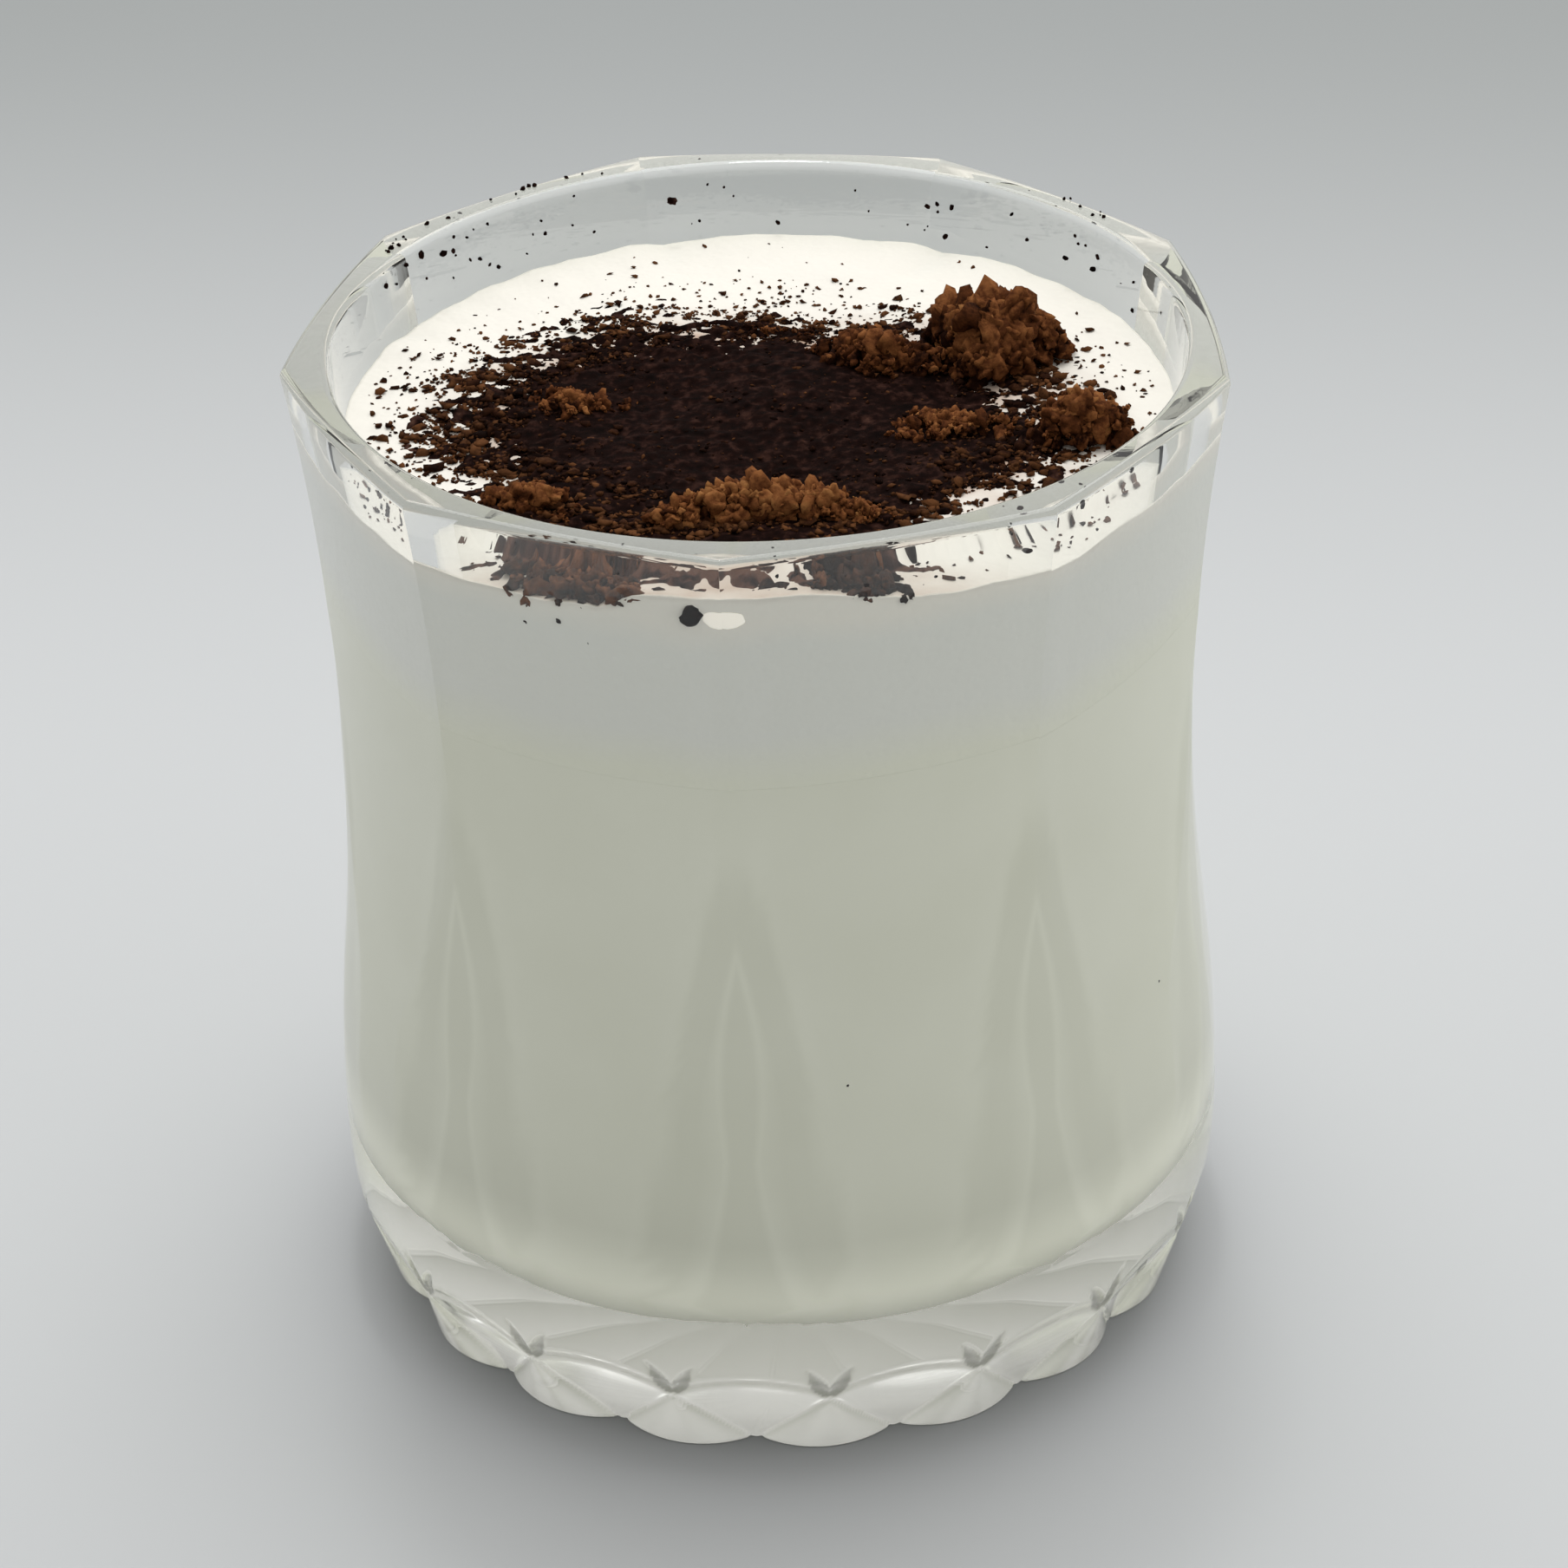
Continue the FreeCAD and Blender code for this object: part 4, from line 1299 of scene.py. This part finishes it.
CLUSTERS = (
    Lump("star", -15.5, -0.8, 9.0, 6.0, 1.7, 0.0, 80, 0.7, 0.3),
    Lump("middle", 17.0, -4.6, 13.5, 6.0, 1.9, 0.0, 110, 0.72, 0.32),
    Lump("front left", -17.0, -18.6, 9.0, 5.0, 2.0, -25.0, 80, 0.72, 0.32),
    Lump("front right", 9.0, -20.5, 8.0, 4.0, 1.8, 8.0, 60, 0.7),
    Lump("back", 1.0, 14.5, 8.0, 2.5, 1.0, 0.0, 40, 0.5),
)
LUMPS = (
    Lump("cocoa_lump_pile", 19.3, 9.8, 12.6, 10.0, 6.0, -15.0, 270, 0.62, 0.23),
    Lump("cocoa_lump_ridge", 10.2, 8.1, 14.0, 6.0, 2.9, -12.0, 170, 0.6, 0.26),
    Lump("cocoa_lump_right", 27.2, -4.8, 8.6, 7.0, 4.2, 0.0, 150, 0.64, 0.23),
    Lump("cocoa_lump_front", 1.5, -20.0, 19.0, 6.0, 3.2, 5.0, 200, 0.82, 0.3),
    Lump("cocoa_lump_wall_left", -11.6, -30.1, 13.5, 7.0, 2.3, -21.0, 130, 0.66, 0.42, WET_COCOA,
         35.5, 0.5),
    Lump("cocoa_lump_wall_right", 9.4, -31.2, 10.0, 6.0, 2.1, 17.0, 90, 0.5, 0.44, WET_COCOA,
         35.5, 0.45),
)
SPECKS = ((82.9, -3.5, 0.95), (36.5, 14.0, 0.2), (33.0, 71.0, 0.2), (79.6, -27.0, 0.22),
          (80.4, -22.0, 0.3), (78.8, -18.0, 0.2))


@dataclass(frozen=True)
class Dusting:
    """Cocoa on the foam: a damp patch, loose grains round it, crumb heaps and stray flecks."""

    drink: Drink
    cell: float = 0.26
    margin: float = 1.25
    front_edge: float = 34.0
    patch_limit: float = 34.4
    sheet: float = 0.5
    raised: float = 0.32
    grit: float = 0.16
    grains: int = 9800
    tries_per_grain: int = 12
    grain_field: float = 33.5
    grain_limit: float = 33.6
    grain_size: float = 0.22
    size_spread: float = 0.48
    smallest: float = 0.08
    largest: float = 0.8
    crumb_spread: float = 0.6
    crumb_least: float = 0.3
    crumb_most: float = 2.3
    wall_flecks: int = 70
    front_flecks: int = 16
    rim_flecks: tuple[int, int] = (18, 7)
    fleck_size: float = 0.16
    grain_seed: int = 31
    fleck_seed: int = 41
    lump_seed: int = 50
    cluster_seed: int = 70
    hollow_level: float = 82.8
    hollow_halves: tuple[float, float, float] = (1.45, 0.35, 1.1)

    def cover(self, across: Array, back: Array) -> Array:
        """Give how thickly the powder lies: full in the middle, broken up towards the edge.

        It falls with the distance from the middle, which counts for less at the front, at the
        right and at the left, and a coarse and a fine field break it up.

        Args:
            across: Distances to the right of the axis.
            back: Distances behind the axis.

        Returns:
            Cover: below 0 where the foam is bare.
        """
        flat = to_points(across, back)
        stretched = flat / np.array([1.15, 0.75, 1.0])
        patches = 0.4 * Field(21).plain(flat / 5.0) + 0.95 * Field(22).rough(stretched, 3)
        front = soft_step(-back, 10, 24) * np.exp(-((across + 3) / 19) ** 4)
        right = 0.22 * np.exp(-((across - 18) ** 2 + (back + 10) ** 2) / 50)
        left = 0.1 * soft_step(-across, 8, 18)
        reach = self.drink.dust.spread(across, back) - 0.66 * front - right - left
        patches *= 0.3 + 0.8 * soft_step(reach, 0.55, 0.95)
        return 3.4 * (0.95 - reach) + patches

    def build_patch(self) -> bpy.types.Object:
        """Build the damp patch: a thin sheet that dips under the foam where no powder lies.

        Returns:
            The piece.
        """
        oval = self.drink.dust
        reach = oval.length / 2 * self.margin
        line = np.arange(-reach, reach, self.cell)
        depth = np.arange(-self.front_edge, oval.back + oval.width / 2 * self.margin, self.cell)
        across, back = np.meshgrid(line, depth)
        cover = self.cover(across, back)
        flat = to_points(across, back)
        grit = self.grit * Field(23).rough(flat / 0.9, 3)
        lift = self.raised * np.clip(cover, -1.0, 1.0) + grit * soft_step(cover, 0.0, 0.5)
        level = self.drink.foam_top(across, back) + lift
        top = to_points(across, back, level)
        kept = np.hypot(across, back) < self.patch_limit
        rows, columns = across.shape
        faces = grid_faces(rows, columns, 0, False)
        faces = faces[np.all(kept.ravel()[faces], axis=1)]
        faces = faces[np.any(cover.ravel()[faces] > -0.35, axis=1)]
        used, numbered = np.unique(faces, return_inverse=True)
        faces = numbered.reshape(faces.shape)
        points = top.reshape(-1, 3)[used]
        reach = np.hypot(across, back)
        along = np.arctan2(across, -back) * self.front_edge
        bands = to_points(along / 2.6, reach / 0.4)
        by_wall = soft_step(reach, 26.0, 32.0)
        tone = 0.42 + 0.13 * Field(24).rough(flat / 1.1, 2) + 0.2 * Field(26).plain(flat / 0.45)
        tone += by_wall * (0.42 + 0.4 * Field(25).rough(bands, 2))
        tone = tone.reshape(-1)[used]
        under = points - np.array([0, 0, self.sheet])
        count = len(points)
        edges = np.concatenate([faces[:, [i, (i + 1) % 4]] for i in range(4)])
        key = edges[:, 0] * count + edges[:, 1]
        border = edges[~np.isin(key, edges[:, 1] * count + edges[:, 0])]
        wall = np.stack([border[:, 1], border[:, 0], border[:, 0] + count,
                         border[:, 1] + count], axis=-1)
        patch = make_piece("cocoa_damp_patch", np.concatenate([points, under]),
                           [faces, faces[:, ::-1] + count, wall], DAMP_COCOA.material(),
                           np.concatenate([tone, tone]))
        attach(patch, "root")
        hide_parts("cocoa_dusting")
        return patch

    def build_grains(self) -> bpy.types.Object:
        """Scatter loose grains: dense round the patch's edge, thin towards the wall.

        Returns:
            The piece.
        """
        rng = np.random.default_rng(self.grain_seed)
        tries, field = self.grains * self.tries_per_grain, self.grain_field
        across = rng.uniform(-field, field, tries)
        back = rng.uniform(-field, field, tries)
        spread = self.drink.dust.spread(across, back)
        flat = to_points(across, back)
        streaks = Field(33).plain(flat / np.array([1.9, 0.9, 1.0]))
        clumps = 0.5 + 0.8 * Field(32).plain(flat / 3.2) + 1.5 * streaks
        fringe = np.exp(-((spread - 0.98) / 0.19) ** 2) + 0.05 * (spread < 0.9)
        left = 1 + 1.3 * soft_step(-across, 5, 20) + 0.6 * soft_step(-back, 12, 24)
        stray = 0.035 * (spread < 1.5) + 0.006
        chance = 0.8 * fringe * left * np.clip(clumps, 0.05, None) + stray
        chance *= np.hypot(across, back) < self.grain_limit
        kept = np.nonzero(rng.random(len(across)) < np.clip(chance, 0, 1))[0][:self.grains]
        across, back, spread = across[kept], back[kept], spread[kept]
        radii = rng.lognormal(math.log(self.grain_size), self.size_spread, len(kept))
        radii = np.clip(radii, self.smallest, self.largest)
        radii *= 0.6 + 0.4 * soft_step(spread, 0.75, 0.9)
        radii *= 1 - 0.25 * soft_step(back, 2, 12)
        level = self.drink.foam_top(across, back) + 0.25 * np.clip(
            self.cover(across, back), 0, 1) + radii * 0.25
        tones = 0.35 + 0.2 * rng.normal(size=len(kept)) + 0.25 * (spread > 1.0)
        centres = to_points(across, back, level)
        points, faces, tone = scatter(rng, centres, radii, tones, GRAIN)
        grains = make_piece("cocoa_grains", points, [faces], GRAIN_COCOA.material(), tone)
        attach(grains, "root")
        return grains

    def heap(self, lump: Lump, seed: int) -> tuple[Array, Array, Array]:
        """Heap crumbs inside the lump's dome: large ones in the middle, grit at the edge.

        Args:
            lump: The heap's place, size and finish.
            seed: The start of its random source.

        Returns:
            Points, triangles and the tone of each point.
        """
        rng = np.random.default_rng(seed)
        share = np.sqrt(rng.random(lump.crumbs))
        turn = rng.uniform(0, 2 * math.pi, lump.crumbs)
        ragged = 1 + 0.25 * np.sin(3 * turn + seed) + 0.12 * np.sin(7 * turn)
        spread = rng.lognormal(0, self.crumb_spread, lump.crumbs)
        spread = np.clip(spread, self.crumb_least, self.crumb_most)
        radii = lump.height * (lump.coarse - 0.5 * lump.coarse * share) * spread
        along = (lump.length / 2 - radii) * share * np.cos(turn) * ragged
        aside = (lump.width / 2 - radii) * share * np.sin(turn) * ragged
        dome = lump.height * np.sqrt(np.clip(1 - share ** 1.6, 0, 1))
        rise = np.clip(dome - radii, 0, None) * rng.uniform(0.55, 1.0, lump.crumbs)
        angle = math.radians(lump.turn)
        across = lump.across + along * math.cos(angle) - aside * math.sin(angle)
        back = lump.back + along * math.sin(angle) + aside * math.cos(angle)
        limit = lump.limit / np.maximum(np.hypot(across, back) + radii, lump.limit)
        across, back = across * limit, back * limit
        level = self.drink.foam_top(across, back) + rise + 0.3 * radii - lump.sink
        low = 1 - rise / lump.height
        tones = lump.tone + 0.12 * rng.normal(size=lump.crumbs) - 0.05 * share - 0.3 * low
        centres = to_points(across, back, level)
        return scatter(rng, centres, radii, tones, CRUMB)

    def build_clusters(self) -> bpy.types.Object:
        """Build the small clusters of dry crumbs that lie on the dusting, as one piece.

        Returns:
            The piece.
        """
        heaps = [self.heap(lump, seed) for seed, lump in enumerate(CLUSTERS, self.cluster_seed)]
        starts = np.cumsum([0] + [len(points) for points, _, _ in heaps])
        faces = [block + start for (_, block, _), start in zip(heaps, starts)]
        piece = make_piece("cocoa_clusters", np.concatenate([heap[0] for heap in heaps]), faces,
                           DRY_COCOA.material(), np.concatenate([heap[2] for heap in heaps]))
        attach(piece, "root")
        return piece

    def build_lump(self, lump: Lump, seed: int) -> bpy.types.Object:
        """Build the crumbs that stand in for one heap.

        Args:
            lump: The heap.
            seed: The start of its random source.

        Returns:
            The piece.
        """
        points, faces, tone = self.heap(lump, seed)
        piece = make_piece(lump.node + "_crumbs", points, [faces],
                           lump.finish.material(), tone)
        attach(piece, "root")
        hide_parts(lump.node)
        return piece

    def build_flecks(self) -> bpy.types.Object:
        """Stick stray flecks to the inner wall and the rim, and set the specks, the bead first.

        Returns:
            The piece.
        """
        rng = np.random.default_rng(self.fleck_seed)
        glass = self.drink.glass
        count, front = self.wall_flecks, self.front_flecks
        angle = np.concatenate([rng.uniform(110, 250, count - front),
                                rng.uniform(-60, 60, front)])
        level = rng.uniform(self.drink.foam_level + 0.6, glass.height - 0.9, count)
        wall = around(glass.inside(level) - 0.05, angle, level)
        left, right = self.rim_flecks
        rim_angle = np.concatenate([rng.uniform(205, 250, left), rng.uniform(128, 140, right)])
        rim_reach = rng.uniform(glass.bore_rim + 0.8, 38.0, len(rim_angle))
        rim = around(rim_reach, rim_angle, np.full(len(rim_angle), glass.height + 0.08))
        side_level, side_angle, side_radii = np.array(SPECKS).T
        side = around(glass.inside(side_level) + 0.05, side_angle, side_level)
        centres = np.concatenate([wall, rim, side])
        radii = rng.lognormal(math.log(self.fleck_size), 0.35, len(centres))
        radii = np.clip(radii, self.smallest, self.largest / 2)
        radii[-len(side):] = side_radii
        tones = rng.uniform(0.2, 0.5, len(centres))
        points, faces, tone = scatter(rng, centres, radii, tones, FLECK)
        flecks = make_piece("cocoa_flecks", points, [faces], DAMP_COCOA.material(), tone)
        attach(flecks, "root")
        return flecks

    def build_hollow(self) -> bpy.types.Object:
        """Press a small hollow, bright with painted light, into the foam against the front wall,
        beside a bead.

        Returns:
            The piece.
        """
        sphere, faces = round_stone(4)
        bumps = 0.12 * Field(44).rough(sphere * 1.5, 2)
        shape = sphere * (1 + bumps)[:, None] * np.array(self.hollow_halves)
        level = np.array(self.hollow_level)
        place = around(self.drink.glass.inside(level), np.array(0.0), level)
        hollow = make_piece("foam_hollow", shape + place, [faces], HollowFoam().material())
        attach(hollow, "root")
        return hollow

    def build_all(self) -> list[bpy.types.Object]:
        """Build the patch, the grains, every lump, the clusters, the flecks and the hollow.

        Returns:
            The pieces, in that order.
        """
        powder = [self.build_patch(), self.build_grains()]
        lumps = [self.build_lump(lump, seed) for seed, lump in enumerate(LUMPS, self.lump_seed)]
        return powder + lumps + [self.build_clusters(), self.build_flecks(), self.build_hollow()]


# ------------------------------------------------------------------ the studio


@dataclass(frozen=True)
class Lamp:
    """A square lamp aimed at the glass: place and side in metres, power in watts."""

    name: str
    place: tuple[float, float, float]
    side: float
    power: float
    aim: tuple[float, float, float] = (0, 0, 0.05)

    def hang(self) -> None:
        """Add the lamp to the scene."""
        data = bpy.data.lights.new(self.name, "AREA")
        data.size = self.side
        data.energy = self.power
        lamp = bpy.data.objects.new(self.name, data)
        lamp.location = self.place
        way = Vector(self.aim) - Vector(self.place)
        lamp.rotation_euler = way.to_track_quat("-Z", "Y").to_euler()
        bpy.context.scene.collection.objects.link(lamp)


@dataclass(frozen=True)
class Studio:
    """A pale table, soft light from above and behind, and the camera."""

    lens: float = 106.16
    sensor: float = 36.0
    distance: float = 409.1
    lift: float = 31.177
    side: float = 4.912
    roll: float = -1.692
    slide_right: float = 1.09
    slide_up: float = 0.614
    table_gap: float = 0.05
    table_reach: float = 3000.0
    room: str = "#f8f6f4"
    room_dim: float = 0.46
    room_bright: float = 0.97
    bright_side: tuple[float, float, float] = (0.5, 0.8, 0.0)
    lamps: tuple[Lamp, ...] = (Lamp("window", (0.02, 0.45, 1.05), 1.0, 5.8),
                               Lamp("ceiling", (-0.05, 0.3, 0.9), 0.1, 0.8))

    def place_camera(self, height: float) -> None:
        """Aim the camera at the middle of the glass, then slide it a little and roll it.

        Args:
            height: The height of the glass.
        """
        lift, side, roll = [math.radians(v) for v in (self.lift, self.side, self.roll)]
        right = Vector((math.cos(side), math.sin(side), 0))
        ahead = Vector((-math.sin(side) * math.cos(lift), math.cos(side) * math.cos(lift),
                        -math.sin(lift)))
        up = right.cross(ahead)
        place = Vector((0, 0, height / 2)) - ahead * self.distance
        place += right * self.slide_right + up * self.slide_up
        image_right = right * math.cos(roll) + up * math.sin(roll)
        image_up = up * math.cos(roll) - right * math.sin(roll)
        data = bpy.data.cameras.new("camera")
        data.lens = self.lens
        data.sensor_width = self.sensor
        data.sensor_fit = "HORIZONTAL"
        data.clip_start = 0.01
        camera = bpy.data.objects.new("camera", data)
        turn = Matrix((image_right, image_up, -ahead)).transposed().to_4x4()
        camera.matrix_world = Matrix.Translation(place * MM) @ turn
        bpy.context.scene.collection.objects.link(camera)
        bpy.context.scene.camera = camera

    def lay_table(self) -> None:
        """Lay a wide table just under the glass."""
        reach = self.table_reach
        points = np.array([[-reach, -reach, 0], [reach, -reach, 0], [reach, reach, 0],
                           [-reach, reach, 0]]) - np.array([0, 0, self.table_gap])
        table = make_piece("table", points, [np.array([[0, 1, 2, 3]])], TableTop().material())

    def light(self) -> None:
        """Light the room, brighter behind and to the right, and hang the lamps."""
        world = bpy.data.worlds.new("room")
        world.use_nodes = True
        tree = world.node_tree
        tree.nodes.clear()
        way = add_node(tree, "ShaderNodeTexCoord").outputs["Generated"]
        lean = add_node(tree, "ShaderNodeVectorMath", {"operation": "DOT_PRODUCT",
                                                       1: self.bright_side}, {0: way})
        level = add_node(tree, "ShaderNodeMapRange", {
            "From Min": -1.0, "From Max": 1.0, "To Min": self.room_dim,
            "To Max": self.room_bright}, {"Value": lean.outputs["Value"]})
        sky = add_node(tree, "ShaderNodeBackground", {"Color": linear(self.room)},
                       {"Strength": level.outputs[0]})
        add_node(tree, "ShaderNodeOutputWorld", None, {"Surface": sky.outputs[0]})
        bpy.context.scene.world = world
        for lamp in self.lamps:
            lamp.hang()
        bpy.context.scene.view_settings.view_transform = "Standard"

    def build(self, height: float) -> None:
        """Build the camera, the table and the light."""
        self.place_camera(height)
        self.lay_table()
        self.light()


def main() -> None:
    """Build the glass, the drink, the cocoa and the studio."""
    logging.basicConfig(level=logging.INFO, format="%(name)s: %(message)s")
    glass = Tumbler()
    drink = Drink(glass)
    pieces = [glass.build(), drink.build_milk(), drink.build_foam(),
              *Dusting(drink).build_all()]
    for piece in pieces:
        report(piece)
    Studio().build(glass.height)


if __name__ == "__main__":
    main()
